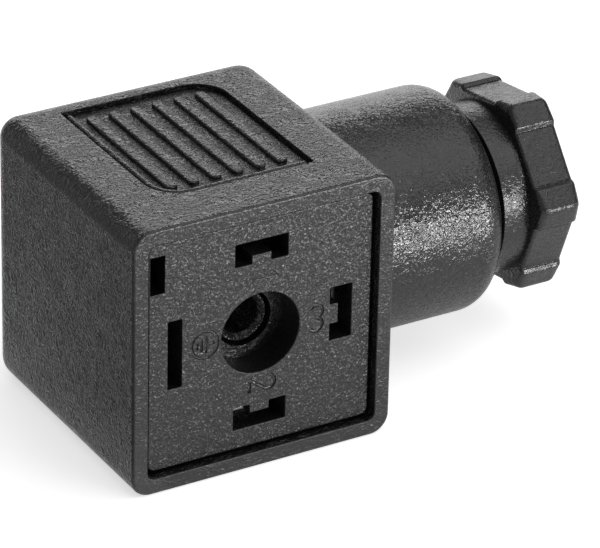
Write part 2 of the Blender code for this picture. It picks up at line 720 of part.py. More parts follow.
def slot_outline(blade_width):
    """The opening for a blade: a bar, with two legs towards the axis beside a line contact."""
    half_length = blade_width / 2 + SLOT_END_GAP
    outer = CONTACT_RADIUS + BLADE_THICKNESS / 2 + SLOT_FACE_GAP
    inner = CONTACT_RADIUS - BLADE_THICKNESS / 2 - SLOT_FACE_GAP
    if blade_width == EARTH_BLADE_WIDTH:
        return [(half_length, inner), (half_length, outer), (-half_length, outer), (-half_length, inner)]
    leg_end = inner - SLOT_LEG_DEPTH
    leg_side = half_length - SLOT_LEG_WIDTH
    return [
        (half_length, outer),
        (-half_length, outer),
        (-half_length, leg_end),
        (-leg_side, leg_end),
        (-leg_side, inner),
        (leg_side, inner),
        (leg_side, leg_end),
        (half_length, leg_end),
    ]


def make_contact_cuts(name, blade_width, station):
    """The blade slot in the face, the contact's chamber behind it and the terminal screw's hole."""
    slot_front = FACE_RECESS - PIERCE
    slot_rear = FACE_RECESS + FRONT_LIP + CLEARANCE / 2
    centre = (0.0, (slot_front + slot_rear) / 2, 0.0)
    outline = slot_outline(blade_width)
    slot = make_prism("slot_" + name, outline, slot_rear - slot_front, centre, DRAWN_ACROSS_Y, station)
    half_width = half_contact_width(blade_width) + CLEARANCE
    low = (-half_width, FACE_RECESS + FRONT_LIP, LIP_Z - CONTACT_SHEET / 2 - CLEARANCE)
    high = (half_width, ARM_REAR + CHEEK_HEIGHT + PIERCE, BASE_Z + CONTACT_SHEET / 2 + CLEARANCE)
    chamber = make_box("chamber_" + name, low, high, station)
    hole_radius = TERMINAL_SCREW_RADIUS + CLEARANCE
    hole_front = TERMINAL_HEAD_DEPTH - TERMINAL_SCREW_LENGTH - CLEARANCE
    hole_rear = ARM_REAR + PIERCE
    profile = [(0.0, hole_rear), (hole_radius, hole_rear), (hole_radius, hole_front), (0.0, hole_front)]
    location = (0.0, 0.0, TERMINAL_SCREW_Z)
    hole = make_bore("hole_" + name, profile, SMALL_TURN_STEPS, location, TURNED_ALONG_Y, station)
    return slot, chamber, hole


def make_socket(mating_axis):
    """The round socket for the coil's boss, with the screw tube's hole behind it."""
    hole_radius = TUBE_RADIUS + CLEARANCE
    floor = FACE_RECESS + SOCKET_DEPTH
    profile = [
        (0.0, ARM_REAR + PIERCE),
        (hole_radius, ARM_REAR + PIERCE),
        (hole_radius, floor),
        (SOCKET_RADIUS, floor),
        (SOCKET_RADIUS, FACE_RECESS - PIERCE),
        (0.0, FACE_RECESS - PIERCE),
    ]
    return make_bore("socket", profile, LARGE_TURN_STEPS, (0.0, 0.0, 0.0), TURNED_ALONG_Y, mating_axis)


def make_pry_notch(mating_axis):
    """The slot beside the earth contact where a screwdriver levers the insert out."""
    left = -INSERT_HALF + PRY_NOTCH_EDGE
    top = INSERT_HALF - PRY_NOTCH_CORNER
    low = (left, FACE_RECESS - PIERCE, top - PRY_NOTCH_LENGTH)
    high = (left + PRY_NOTCH_WIDTH, FACE_RECESS + PLATE + PIERCE, top)
    return make_box("pry_notch", low, high, mating_axis)


def make_contact(name, blade_width, station):
    """A stamped contact: a rolled receptacle for the blade, and a tab turned in under the clamp."""
    half_strip = half_contact_width(blade_width) - CONTACT_SHEET / 2
    tab_end = TERMINAL_SCREW_Z - TERMINAL_HEAD_RADIUS - TAB_INNER_MARGIN
    tab_depth = TAB_FRONT + CONTACT_SHEET / 2
    path = [(CONTACT_FRONT, BASE_Z), (tab_depth, BASE_Z), (tab_depth, tab_end)]
    outline = sheet_outline(path, CONTACT_SHEET)
    contact = make_prism("contact_strip_" + name, outline, 2 * half_strip, (0.0, 0.0, 0.0), DRAWN_ACROSS_X, station)
    centre = (0.0, CONTACT_FRONT + RECEPTACLE_LENGTH / 2, 0.0)
    for side, hand in ((1, "right"), (-1, "left")):
        path = [(side * half_strip, BASE_Z), (side * half_strip, LIP_Z), (side * RECEPTACLE_LIP_REACH, LIP_Z)]
        outline = sheet_outline(path, CONTACT_SHEET)
        label = "contact_" + hand + "_roll_" + name
        join(contact, make_prism(label, outline, RECEPTACLE_LENGTH, centre, DRAWN_ACROSS_Y, station))
    cut(contact, make_screw_hole("tab_hole_" + name, TAB_FRONT, TAB_REAR, station))
    smooth(contact)
    return make_part(contact, "contact_" + name, TINNED_BRASS)


def make_screw_hole(name, front, rear, station):
    """A round cutter for the terminal screw's hole through a sheet."""
    radius = TERMINAL_SCREW_RADIUS + SCREW_HOLE_GAP
    profile = [(0.0, rear + PIERCE), (radius, rear + PIERCE), (radius, front - PIERCE), (0.0, front - PIERCE)]
    location = (0.0, 0.0, TERMINAL_SCREW_Z)
    return make_bore(name, profile, SMALL_TURN_STEPS, location, TURNED_ALONG_Y, station)


def make_clamp(name, station):
    """The arched plate that presses the wire on the contact's tab."""
    wing = CLAMP_FRONT + CLAMP_SHEET / 2
    crown = wing + CLAMP_ARCH
    path = [(-GRIP_HALF_WIDTH, wing), (-CLAMP_CROWN, crown), (CLAMP_CROWN, crown), (GRIP_HALF_WIDTH, wing)]
    outline = sheet_outline(path, CLAMP_SHEET)
    centre = (0.0, 0.0, TERMINAL_SCREW_Z)
    clamp = make_prism("clamp_" + name, outline, CLAMP_LENGTH, centre, DRAWN_ACROSS_Z, station)
    cut(clamp, make_screw_hole("clamp_hole_" + name, CLAMP_FRONT, CLAMP_REAR, station))
    smooth(clamp)
    return make_part(clamp, "wire_clamp_" + name, ZINC_STEEL)


def make_terminal_screw(name, station):
    """The screw that draws the clamp down."""
    sizes = (
        TERMINAL_SCREW_RADIUS,
        TERMINAL_SCREW_LENGTH,
        TERMINAL_HEAD_RADIUS,
        TERMINAL_HEAD_HEIGHT,
        TERMINAL_TIP_CHAMFER,
    )
    slot = (TERMINAL_SLOT_WIDTH, TERMINAL_SLOT_DEPTH)
    location = (0.0, TERMINAL_HEAD_DEPTH, TERMINAL_SCREW_Z)
    return make_screw("terminal_screw_" + name, sizes, slot, location, station)


def main():
    """Build every piece of the plug in its place."""
    mating_axis = make_empty("mating_axis", (0.0, FRONT_Y, AXIS_Z))
    gland_axis = make_empty("gland_axis", (0.0, FRONT_Y + GLAND_AXIS_DEPTH, AXIS_Z))
    stations = [
        make_empty("station_" + name, (0.0, FRONT_Y, AXIS_Z), (0.0, angle, 0.0)) for name, angle, _ in STATIONS
    ]
    make_housing(mating_axis, gland_axis)
    make_gland_nut(gland_axis)
    make_gland_washer(gland_axis)
    make_gland_grommet(gland_axis)
    make_centre_screw(mating_axis)
    make_insert(mating_axis, stations)
    for (name, _, blade_width), station in zip(STATIONS, stations):
        make_contact(name, blade_width, station)
        make_clamp(name, station)
        make_terminal_screw(name, station)


main()
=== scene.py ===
"""Looks of a solenoid coil plug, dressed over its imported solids.

Metres, +Z up. X runs along the cable gland, Y runs from the mating face to the rear, and depths run
along Y from the housing's front rim. Each sub-assembly is a class: its fields are its sizes, and its
methods build its pieces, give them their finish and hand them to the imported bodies.
"""
import json
import logging
import math
from dataclasses import dataclass, field
from enum import Enum
from typing import Any

import bmesh
import bpy
from mathutils import Matrix, Vector

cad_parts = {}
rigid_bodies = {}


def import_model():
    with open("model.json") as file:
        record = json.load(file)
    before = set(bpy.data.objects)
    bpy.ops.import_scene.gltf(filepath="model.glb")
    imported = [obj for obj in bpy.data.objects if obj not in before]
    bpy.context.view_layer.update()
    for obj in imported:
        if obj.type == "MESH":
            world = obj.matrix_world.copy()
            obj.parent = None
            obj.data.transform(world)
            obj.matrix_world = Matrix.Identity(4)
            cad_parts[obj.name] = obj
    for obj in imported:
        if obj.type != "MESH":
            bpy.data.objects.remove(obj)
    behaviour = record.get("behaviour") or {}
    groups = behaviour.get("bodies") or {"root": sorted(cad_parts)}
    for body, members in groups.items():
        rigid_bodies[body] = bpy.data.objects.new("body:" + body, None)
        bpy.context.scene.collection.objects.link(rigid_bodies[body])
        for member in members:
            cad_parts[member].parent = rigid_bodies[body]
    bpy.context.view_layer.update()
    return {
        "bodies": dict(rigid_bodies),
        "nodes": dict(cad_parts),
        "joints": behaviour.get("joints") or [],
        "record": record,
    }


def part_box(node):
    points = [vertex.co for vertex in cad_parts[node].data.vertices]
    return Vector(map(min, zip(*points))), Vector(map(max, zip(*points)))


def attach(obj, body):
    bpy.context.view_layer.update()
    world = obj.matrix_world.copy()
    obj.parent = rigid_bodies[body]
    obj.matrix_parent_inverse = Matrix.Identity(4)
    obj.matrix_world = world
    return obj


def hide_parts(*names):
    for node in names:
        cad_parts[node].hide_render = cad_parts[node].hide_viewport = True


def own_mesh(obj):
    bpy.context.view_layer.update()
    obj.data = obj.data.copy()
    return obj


MM = 0.001
IMAGE_WIDTH = 600
SENSOR_WIDTH = 36.0

# Facets round an axis, and chords of an arc from the tightest corners to the widest.
LARGE_TURN = 160
SOCKET_TURN = 128
SMALL_TURN = 64
HALF_FACET = 0.5
TIGHT_STEPS = 3
MOUTH_STEPS = 4
ROUND_STEPS = 6
WIDE_STEPS = 10
SWEEP_STEPS = 12

# A swept bead's sides, and a thread's ridge: half its width for a pitch of one, and what its ends keep.
BEAD_SIDES = 10
THREAD_STEPS = 48
RIDGE_SIDES = 4
RIDGE_SHARE = 0.46
RIDGE_END = 0.05

# The angle of an edge that stays sharp, of a cutter's flare and between faces that count as one.
SMOOTH_ANGLE = math.radians(40.0)
FLARE_ANGLE = math.radians(60.0)
FLAT_ANGLE = math.radians(1.0)

# How far a cutter stands out of a face or runs past it, and a joined body runs into its carrier.
MOUTH_REACH = 0.15 * MM
PIERCE = 1.0 * MM
BITE = 0.6 * MM

# Points closer than this are one point, and the floor lies this far under the plug.
MERGE_DISTANCE = 0.0001 * MM
FLOOR_GAP = 0.02 * MM

LOG = logging.getLogger("coil_plug")

Point = tuple[float, float]
Triple = tuple[float, float, float]
Colour = tuple[float, float, float]
Outline = list[Point]
Ring = tuple[float, Outline]
Piece = bpy.types.Object
Socket = bpy.types.NodeSocket


class Axis(Enum):
    """The way that a turned or lofted body runs, and the plane that its outline is drawn in."""

    GLAND = "along +X, drawn across Y and Z"
    MATING = "along +Y, drawn across X and Z"
    SUNK = "along -Z, drawn across X and Y"

    def point(self, origin: Vector, across: Point, along: float) -> Vector:
        """Return a point of the body.

        Args:
            origin: Where the axis starts.
            across: The point in the plane of the outline.
            along: The distance along the axis.

        Returns:
            The point in the plug's frame.
        """
        first, second = across
        if self is Axis.GLAND:
            return origin + Vector((along, first, second))
        if self is Axis.MATING:
            return origin + Vector((first, along, second))
        return origin + Vector((first, second, -along))


class Station(Enum):
    """A contact's place round the mating axis, as its angle clockwise from upright."""

    ONE = 0.0
    THREE = math.pi / 2
    TWO = math.pi
    EARTH = -math.pi / 2

    @property
    def label(self) -> str:
        """The ending of the names of this contact's nodes."""
        return {"ONE": "1", "TWO": "2", "THREE": "3", "EARTH": "earth"}[self.name]

    def turn(self, outline: Outline) -> Outline:
        """Return an outline that is drawn for the upright station, turned to this one."""
        across, up = math.cos(self.value), math.sin(self.value)
        return [(across * u + up * v, across * v - up * u) for u, v in outline]


def arc(centre: Point, radius: float, start: float, end: float, steps: int) -> Outline:
    """Return the points of an arc.

    Args:
        centre: The middle of the arc.
        radius: Its radius.
        start: The angle of its first point.
        end: The angle of its last point.
        steps: The number of its chords.

    Returns:
        The points, both ends included.
    """
    angles = [start + (end - start) * step / steps for step in range(steps + 1)]
    return [(centre[0] + radius * math.cos(a), centre[1] + radius * math.sin(a)) for a in angles]


def rounded_path(corners: list[Triple], steps: int, closed: bool = True) -> Outline:
    """Return a path whose corners are replaced by arcs.

    Args:
        corners: Each corner's place and its radius, zero for a sharp one.
        steps: The number of chords in each arc.
        closed: Whether the last corner leads back to the first.

    Returns:
        The points of the path.
    """
    points: Outline = []
    last_index = len(corners) - 1
    for index, (first, second, radius) in enumerate(corners):
        here = Vector((first, second))
        if radius == 0.0 or (not closed and index in (0, last_index)):
            points.append((first, second))
            continue
        back = (Vector(corners[index - 1][:2]) - here).normalized()
        ahead = (Vector(corners[(index + 1) % len(corners)][:2]) - here).normalized()
        half = back.angle(ahead) / 2
        centre = here + (back + ahead).normalized() * radius / math.sin(half)
        begin = here + back * radius / math.tan(half) - centre
        finish = here + ahead * radius / math.tan(half) - centre
        start = math.atan2(begin.y, begin.x)
        sweep = math.atan2(begin.x * finish.y - begin.y * finish.x, begin.dot(finish))
        points += arc(tuple(centre), radius, start, start + sweep, steps)
    return points


def rectangle(half_width: float, half_height: float, radii: tuple[float, ...], steps: int) -> Outline:
    """Return a rectangle about the origin with round corners.

    Args:
        half_width: Half its size across.
        half_height: Half its size up.
        radii: The radius of each corner, from the upper right one round by the upper left.
        steps: The number of chords in each corner.

    Returns:
        The outline, counter-clockwise.
    """
    signs = ((1, 1), (-1, 1), (-1, -1), (1, -1))
    corners = [(s * half_width, t * half_height, r) for (s, t), r in zip(signs, radii)]
    return rounded_path(corners, steps)


def grown(outline: Outline, growth: float) -> Outline:
    """Move an outline outwards, or inwards for a negative growth.

    Args:
        outline: The outline, counter-clockwise.
        growth: How far each side moves.

    Returns:
        The moved outline, with as many points.
    """
    points = [Vector(point) for point in outline]
    moved: Outline = []
    for index, here in enumerate(points):
        before = (here - points[index - 1]).normalized()
        after = (points[(index + 1) % len(points)] - here).normalized()
        normals = [Vector((run.y, -run.x)) for run in (before, after)]
        mitre = (normals[0] + normals[1]).normalized()
        moved.append(tuple(here + mitre * growth / mitre.dot(normals[0])))
    return moved


def edge_round(radius: float, steps: int = ROUND_STEPS) -> list[Point]:
    """Return (distance from the face, growth) pairs from a rounded edge's face to its side."""
    angles = [math.pi / 2 * step / steps for step in range(steps + 1)]
    return [(radius * (1 - math.cos(a)), -radius * (1 - math.sin(a))) for a in angles]


def mouth_round(radius: float, reach: float = MOUTH_REACH) -> list[Point]:
    """Return (depth, growth) pairs of a cutter that rounds the edge of the hole it makes.

    Args:
        radius: The radius of the rounded edge.
        reach: How far the cutter stands out of the face.

    Returns:
        Pairs from outside the face to where the wall is straight.
    """
    pairs = []
    for step in range(MOUTH_STEPS + 1):
        angle = FLARE_ANGLE * (1 - step / MOUTH_STEPS)
        pairs.append((radius * (1 - math.sin(angle)), radius * (1 - math.cos(angle))))
    run = (pairs[0][0] + reach) / math.cos(FLARE_ANGLE)
    return [(-reach, pairs[0][1] + run * math.sin(FLARE_ANGLE))] + pairs


def ringed(outline: Outline, pairs: list[Point], start: float = 0.0) -> list[Ring]:
    """Return the rings of an outline at (distance, growth) pairs from a start."""
    return [(start + along, grown(outline, growth)) for along, growth in pairs]


def make_object(name: str, body: bmesh.types.BMesh) -> Piece:
    """Turn a bmesh into an object of the scene, with its doubles merged and its faces outwards.

    Args:
        name: The object's name.
        body: The bmesh, which is freed.

    Returns:
        The object.
    """
    bmesh.ops.remove_doubles(body, verts=body.verts, dist=MERGE_DISTANCE)
    bmesh.ops.recalc_face_normals(body, faces=body.faces)
    mesh = bpy.data.meshes.new(name)
    body.to_mesh(mesh)
    body.free()
    piece = bpy.data.objects.new(name, mesh)
    bpy.context.scene.collection.objects.link(piece)
    return piece


def loft(name: str, axis: Axis, origin: Vector, rings: list[Ring]) -> Piece:
    """Skin outlines of equal length into a closed body.

    Args:
        name: The object's name.
        axis: The way that the body runs.
        origin: Where the axis starts.
        rings: The distance along the axis and the outline of each ring.

    Returns:
        The body.
    """
    body = bmesh.new()
    rows = [[body.verts.new(axis.point(origin, p, along)) for p in outline] for along, outline in rings]
    count = len(rows[0])
    for first, second in zip(rows, rows[1:]):
        for here in range(count):
            there = (here + 1) % count
            body.faces.new((first[here], first[there], second[there], second[here]))
    body.faces.new(rows[0][::-1])
    body.faces.new(rows[-1])
    return make_object(name, body)


def turned(
    name: str, axis: Axis, origin: Vector, profile: Outline, steps: int, lead: float = 0.0
) -> Piece:
    """Turn a profile about an axis.

    Args:
        name: The object's name.
        axis: The way that the body runs.
        origin: A point of the axis.
        profile: Points of (radius, distance along the axis); one that doesn't start on the axis is a ring.
        steps: The number of facets round the axis.
        lead: The share of a facet by which the first one is turned.

    Returns:
        The body.
    """
    body = bmesh.new()
    angles = [2 * math.pi * (step + lead) / steps for step in range(steps)]
    rows = []
    for radius, along in profile:
        if radius == 0.0:
            rows.append([body.verts.new(axis.point(origin, (0.0, 0.0), along))] * steps)
            continue
        spots = [(radius * math.cos(a), radius * math.sin(a)) for a in angles]
        rows.append([body.verts.new(axis.point(origin, spot, along)) for spot in spots])
    pairs = list(zip(rows, rows[1:]))
    if profile[0][0] > 0.0:
        pairs.append((rows[-1], rows[0]))
    for first, second in pairs:
        for here in range(steps):
            there = (here + 1) % steps
            corners = dict.fromkeys((first[here], first[there], second[there], second[here]))
            body.faces.new(list(corners))
    return make_object(name, body)


def settle(piece: Piece) -> Piece:
    """Turn a piece's evaluated shape into its plain mesh and remove its modifiers.

    Args:
        piece: The piece, with its modifiers.

    Returns:
        The same piece.
    """
    depsgraph = bpy.context.evaluated_depsgraph_get()
    mesh = bpy.data.meshes.new_from_object(piece.evaluated_get(depsgraph))
    piece.modifiers.clear()
    piece.data = mesh
    return piece


def smooth(piece: Piece) -> Piece:
    """Shade a piece smooth between its real edges, with its flat faces kept flat.

    Args:
        piece: The piece.

    Returns:
        The same piece.
    """
    piece.data.shade_smooth()
    piece.data.set_sharp_from_angle(angle=SMOOTH_ANGLE)
    weighted = piece.modifiers.new("flat_faces", "WEIGHTED_NORMAL")
    weighted.keep_sharp = True
    return settle(piece)


class Carving:
    """A body that others are joined to and cut from, in order."""

    def __init__(self, body: Piece) -> None:
        """Start from a closed body."""
        self.body = body
        self.tools: list[Piece] = []

    def work(self, operation: str, tools: tuple[Piece, ...]) -> "Carving":
        """Add an exact Boolean for each tool.

        Args:
            operation: The Boolean's kind.
            tools: The bodies that work on this one, in order.

        Returns:
            The carving, so that calls can follow each other.
        """
        for tool in tools:
            step = self.body.modifiers.new(tool.name, "BOOLEAN")
            step.operation = operation
            step.solver = "EXACT"
            step.object = tool
            self.tools.append(tool)
        return self

    def join(self, *tools: Piece) -> "Carving":
        """Join other bodies to this one."""
        return self.work("UNION", tools)

    def cut(self, *tools: Piece) -> "Carving":
        """Cut other bodies out of this one."""
        return self.work("DIFFERENCE", tools)

    def finish(self) -> Piece:
        """Work the Booleans out and remove the tools.

        Returns:
            The carved body, shaded.
        """
        settle(self.body)
        for tool in self.tools:
            bpy.data.objects.remove(tool, do_unlink=True)
        return smooth(self.body)


class Graph:
    """A node tree while it is built, for a finish or for Geometry Nodes."""

    def __init__(self, tree: bpy.types.NodeTree) -> None:
        """Start on a tree."""
        self.tree = tree

    def fill(self, node: bpy.types.Node, inputs: dict[Any, Any]) -> None:
        """Set or link a node's inputs.

        Args:
            node: The node.
            inputs: A value or a socket to link from, for each input by its name or index.
        """
        for key, value in inputs.items():
            if isinstance(value, Socket):
                self.tree.links.new(value, node.inputs[key])
            else:
                node.inputs[key].default_value = value

    def add(self, kind: str, inputs: dict[Any, Any] | None = None, **settings: Any) -> bpy.types.Node:
        """Add a node.

        Args:
            kind: The node's type.
            inputs: A value or a socket to link from, for each input by its name or index.
            settings: The node's own settings.

        Returns:
            The node.
        """
        node = self.tree.nodes.new(kind)
        for key, value in settings.items():
            setattr(node, key, value)
        self.fill(node, inputs or {})
        return node

    def math(self, operation: str, *values: Any) -> Socket:
        """Return the output of a Math node on values or sockets."""
        return self.add("ShaderNodeMath", dict(enumerate(values)), operation=operation).outputs[0]

    def vector(self, operation: str, inputs: dict[Any, Any]) -> Socket:
        """Return the output of a Vector Math node."""
        return self.add("ShaderNodeVectorMath", inputs, operation=operation).outputs[0]

    def noise(self, place: Socket, size: float, detail: float, roughness: float = 0.5) -> bpy.types.Node:
        """Return a noise node whose features have about the given size."""
        inputs = {"Vector": place, "Scale": 1.0 / size, "Detail": detail, "Roughness": roughness}
        return self.add("ShaderNodeTexNoise", inputs)

    def blend(self, share: Socket, first: Colour, second: Colour) -> Socket:
        """Return the colour that lies between two by a share."""
        inputs = {0: share, 6: (*first, 1.0), 7: (*second, 1.0)}
        return self.add("ShaderNodeMix", inputs, data_type="RGBA").outputs[2]

    def place(self) -> Socket:
        """Return the piece's own coordinates."""
        return self.add("ShaderNodeTexCoord").outputs["Object"]

    def shade(self, inputs: dict[str, Any]) -> None:
        """Set or link inputs of the material's shader."""
        self.fill(self.tree.nodes["Principled BSDF"], inputs)


class Pattern:
    """A Geometry Nodes tree with named sizes, which makes plain meshes."""

    def __init__(self, name: str, sizes: tuple[str, ...]) -> None:
        """Make an empty tree with inputs for a path, a bar, a number of pieces, a finish and named sizes.

        Args:
            name: The tree's name.
            sizes: The names of its sizes.
        """
        self.tree = bpy.data.node_groups.new(name, "GeometryNodeTree")
        self.graph = Graph(self.tree)
        face = self.tree.interface
        face.new_socket("Geometry", in_out="OUTPUT", socket_type="NodeSocketGeometry")
        face.new_socket("Path", in_out="INPUT", socket_type="NodeSocketGeometry")
        kinds = dict.fromkeys(sizes, "NodeSocketFloat")
        kinds |= {"Pieces": "NodeSocketInt", "Bar": "NodeSocketObject", "Finish": "NodeSocketMaterial"}
        self.keys = {}
        for key, kind in kinds.items():
            self.keys[key] = face.new_socket(key, in_out="INPUT", socket_type=kind).identifier
        self.inputs = self.graph.add("NodeGroupInput").outputs

    def close(self, geometry: Socket) -> "Pattern":
        """End the tree in plain, finished geometry.

        Args:
            geometry: What the tree has made.

        Returns:
            The pattern.
        """
        real = self.graph.add("GeometryNodeRealizeInstances", {"Geometry": geometry})
        dressed = self.graph.add(
            "GeometryNodeSetMaterial", {"Geometry": real.outputs[0], "Material": self.inputs["Finish"]}
        )
        self.graph.add("NodeGroupOutput", {"Geometry": dressed.outputs[0]})
        return self

    def make(self, name: str, path: Outline, plane: Matrix, **values: Any) -> Piece:
        """Run the tree on a path and return the result as a plain mesh.

        Args:
            name: The object's name.
            path: The points of the path in its own plane, or none.
            plane: Where that plane lies in the plug's frame.
            values: The named inputs.

        Returns:
            The piece, its place in its mesh.
        """
        mesh = bpy.data.meshes.new(name)
        links = [(here, here + 1) for here in range(len(path) - 1)]
        mesh.from_pydata([(u, v, 0.0) for u, v in path], links, [])
        piece = bpy.data.objects.new(name, mesh)
        bpy.context.scene.collection.objects.link(piece)
        step = piece.modifiers.new(self.tree.name, "NODES")
        step.node_group = self.tree
        for key, value in values.items():
            step[self.keys[key]] = value
        settle(piece)
        piece.data.transform(plane)
        body = bmesh.new()
        body.from_mesh(piece.data)
        bmesh.ops.recalc_face_normals(body, faces=body.faces)
        body.to_mesh(piece.data)
        body.free()
        return piece


def thread_pattern() -> Pattern:
    """Build a screw thread: a spiral on a core, swept by a ridge that tapers off at both ends.

    Returns:
        The tree, ready to be run.
    """
    pattern = Pattern("screw_thread", ("Core", "Ridge", "Pitch", "Length", "Runout"))
    graph = pattern.graph
    sizes = pattern.inputs
    turns = graph.math("DIVIDE", sizes["Length"], sizes["Pitch"])
    spiral = graph.add(
        "GeometryNodeCurveSpiral",
        {
            "Resolution": THREAD_STEPS,
            "Rotations": turns,
            "Start Radius": sizes["Core"],
            "End Radius": sizes["Core"],
            "Height": sizes["Length"],
        },
    )
    upright = graph.add("GeometryNodeSetCurveNormal", {"Curve": spiral.outputs[0]}, mode="Z_UP")
    unit = {"Resolution": RIDGE_SIDES, "Radius": 1.0}
    ring = graph.add("GeometryNodeCurvePrimitiveCircle", unit, mode="RADIUS")
    half_width = graph.math("MULTIPLY", sizes["Pitch"], RIDGE_SHARE)
    stretch = graph.add("ShaderNodeCombineXYZ", {"X": sizes["Ridge"], "Y": half_width, "Z": 1.0})
    ridge = graph.add("GeometryNodeTransform", {"Geometry": ring.outputs[0], "Scale": stretch.outputs[0]})
    factor = graph.add("GeometryNodeSplineParameter").outputs["Factor"]
    to_end = graph.math("SUBTRACT", 1.0, factor)
    nearest = graph.math("MINIMUM", factor, to_end)
    share = graph.math("MULTIPLY", nearest, turns)
    taper = graph.add(
        "ShaderNodeMapRange",
        {"Value": share, "From Max": sizes["Runout"], "To Min": RIDGE_END},
    )
    swept = graph.add(
        "GeometryNodeCurveToMesh",
        {
            "Curve": upright.outputs[0],
            "Profile Curve": ridge.outputs[0],
            "Scale": taper.outputs[0],
            "Fill Caps": True,
        },
    )
    return pattern.close(swept.outputs[0])


def bead_pattern() -> Pattern:
    """Build a round bead that follows a drawn path.

    Returns:
        The tree, ready to be run.
    """
    pattern = Pattern("drawn_bead", ("Radius",))
    graph = pattern.graph
    line = graph.add("GeometryNodeMeshToCurve", {"Mesh": pattern.inputs["Path"]})
    size = {"Resolution": BEAD_SIDES, "Radius": pattern.inputs["Radius"]}
    ring = graph.add("GeometryNodeCurvePrimitiveCircle", size, mode="RADIUS")
    swept = graph.add(
        "GeometryNodeCurveToMesh",
        {"Curve": line.outputs[0], "Profile Curve": ring.outputs[0], "Fill Caps": True},
    )
    return pattern.close(swept.outputs[0])


def row_pattern() -> Pattern:
    """Build a row of bars at an even pitch along X.

    Returns:
        The tree, ready to be run.
    """
    pattern = Pattern("rib_row", ("Pitch",))
    graph = pattern.graph
    gaps = graph.math("SUBTRACT", pattern.inputs["Pieces"], 1.0)
    span = graph.math("MULTIPLY", pattern.inputs["Pitch"], gaps)
    first = graph.add("ShaderNodeCombineXYZ", {"X": graph.math("MULTIPLY", span, -0.5)})
    step = graph.add("ShaderNodeCombineXYZ", {"X": pattern.inputs["Pitch"]})
    line = graph.add(
        "GeometryNodeMeshLine",
        {"Count": pattern.inputs["Pieces"], "Start Location": first.outputs[0], "Offset": step.outputs[0]},
        mode="OFFSET",
    )
    bar = graph.add("GeometryNodeObjectInfo", {"Object": pattern.inputs["Bar"]})
    row = graph.add(
        "GeometryNodeInstanceOnPoints", {"Points": line.outputs[0], "Instance": bar.outputs["Geometry"]}
    )
    return pattern.close(row.outputs[0])


@dataclass(frozen=True)
class SurfaceFinish:
    """What every finish has: a name, and the material that its pattern goes on."""

    name: str

    def start(self) -> tuple[bpy.types.Material, Graph]:
        """Start the material.

        Returns:
            The material and its node tree.
        """
        finish = bpy.data.materials.new(self.name)
        finish.use_nodes = True
        return finish, Graph(finish.node_tree)


@dataclass(frozen=True)
class MouldedNylon(SurfaceFinish):
    """Glass filled nylon off an eroded mould: grain, short fibres at the skin and cloudy flow marks.

    The facets that glint, the grain, the fibres and the clouds have a size each. The tilt is how far a
    facet's normal leans, depths are heights of the surface, and the fibres lie in two directions.
    """

    dark: Colour = (0.004, 0.004, 0.0045)
    pale: Colour = (0.014, 0.014, 0.015)
    glossy: float = 0.16
    dull: float = 0.34
    facet: float = 0.13 * MM
    tilt: float = 0.24
    grain: float = 0.45 * MM
    grain_depth: float = 0.060 * MM
    fibre: float = 0.28 * MM
    fibre_depth: float = 0.065 * MM
    fibre_shape: Triple = (0.5, 1.0, 1.0)
    fibre_range: Point = (0.46, 0.72)
    first_lay: Triple = (0.6, 0.35, 0.7)
    second_lay: Triple = (-0.5, 0.95, -0.6)
    cloud: float = 2.4 * MM
    swirl: float = 3.2 * MM
    gloss_range: Point = (0.2, 0.7)

    def streaks(self, graph: Graph, place: Socket, lay: Triple) -> Socket:
        """Draw noise out along one direction, as fibres lie in the skin.

        Args:
            graph: The finish's node tree.
            place: The coordinates that the fibres follow.
            lay: The turn of their direction.

        Returns:
            The fibres' height.
        """
        laid = graph.add("ShaderNodeMapping", {"Vector": place, "Rotation": lay, "Scale": self.fibre_shape})
        noise = graph.noise(laid.outputs[0], self.fibre, 1.0)
        low, high = self.fibre_range
        limits = {"Value": noise.outputs[0], "From Min": low, "From Max": high}
        return graph.add("ShaderNodeMapRange", limits).outputs[0]

    def facets(self, graph: Graph, place: Socket) -> Socket:
        """Lean the surface at random from one small facet to the next.

        Args:
            graph: The finish's node tree.
            place: The piece's own coordinates.

        Returns:
            The leaning normal.
        """
        cells = graph.add("ShaderNodeTexVoronoi", {"Vector": place, "Scale": 1.0 / self.facet})
        centred = graph.vector("SUBTRACT", {0: cells.outputs["Color"], 1: (0.5, 0.5, 0.5)})
        lean = graph.vector("SCALE", {0: centred, "Scale": self.tilt})
        surface = graph.add("ShaderNodeNewGeometry").outputs["Normal"]
        return graph.vector("NORMALIZE", {0: graph.vector("ADD", {0: surface, 1: lean})})

    def make(self) -> bpy.types.Material:
        """Build the finish.

        Returns:
            Its material.
        """
        finish, graph = self.start()
        place = graph.place()
        drift = graph.noise(place, self.cloud, 2.0)
        sway = graph.vector("SCALE", {0: drift.outputs["Color"], "Scale": self.swirl})
        swirl = graph.vector("ADD", {0: place, 1: sway})
        along = self.streaks(graph, swirl, self.first_lay)
        across = self.streaks(graph, swirl, self.second_lay)
        fibres = graph.math("MAXIMUM", along, across)
        grain = graph.noise(place, self.grain, 1.5, 0.6).outputs[0]
        raised = graph.math("MULTIPLY", fibres, self.fibre_depth)
        height = graph.math("ADD", graph.math("MULTIPLY", grain, self.grain_depth), raised)
        bump = graph.add(
            "ShaderNodeBump",
            {"Strength": 1.0, "Distance": 1.0, "Height": height, "Normal": self.facets(graph, place)},
        )
        share = graph.math("MULTIPLY", graph.math("ADD", fibres, drift.outputs[0]), 0.5)
        low, high = self.gloss_range
        rough = graph.add(
            "ShaderNodeMapRange",
            {"Value": share, "From Min": low, "From Max": high, "To Min": self.dull, "To Max": self.glossy},
        )
        tint = graph.blend(share, self.dark, self.pale)
        graph.shade({"Base Color": tint, "Roughness": rough.outputs[0], "Normal": bump.outputs[0]})
        return finish


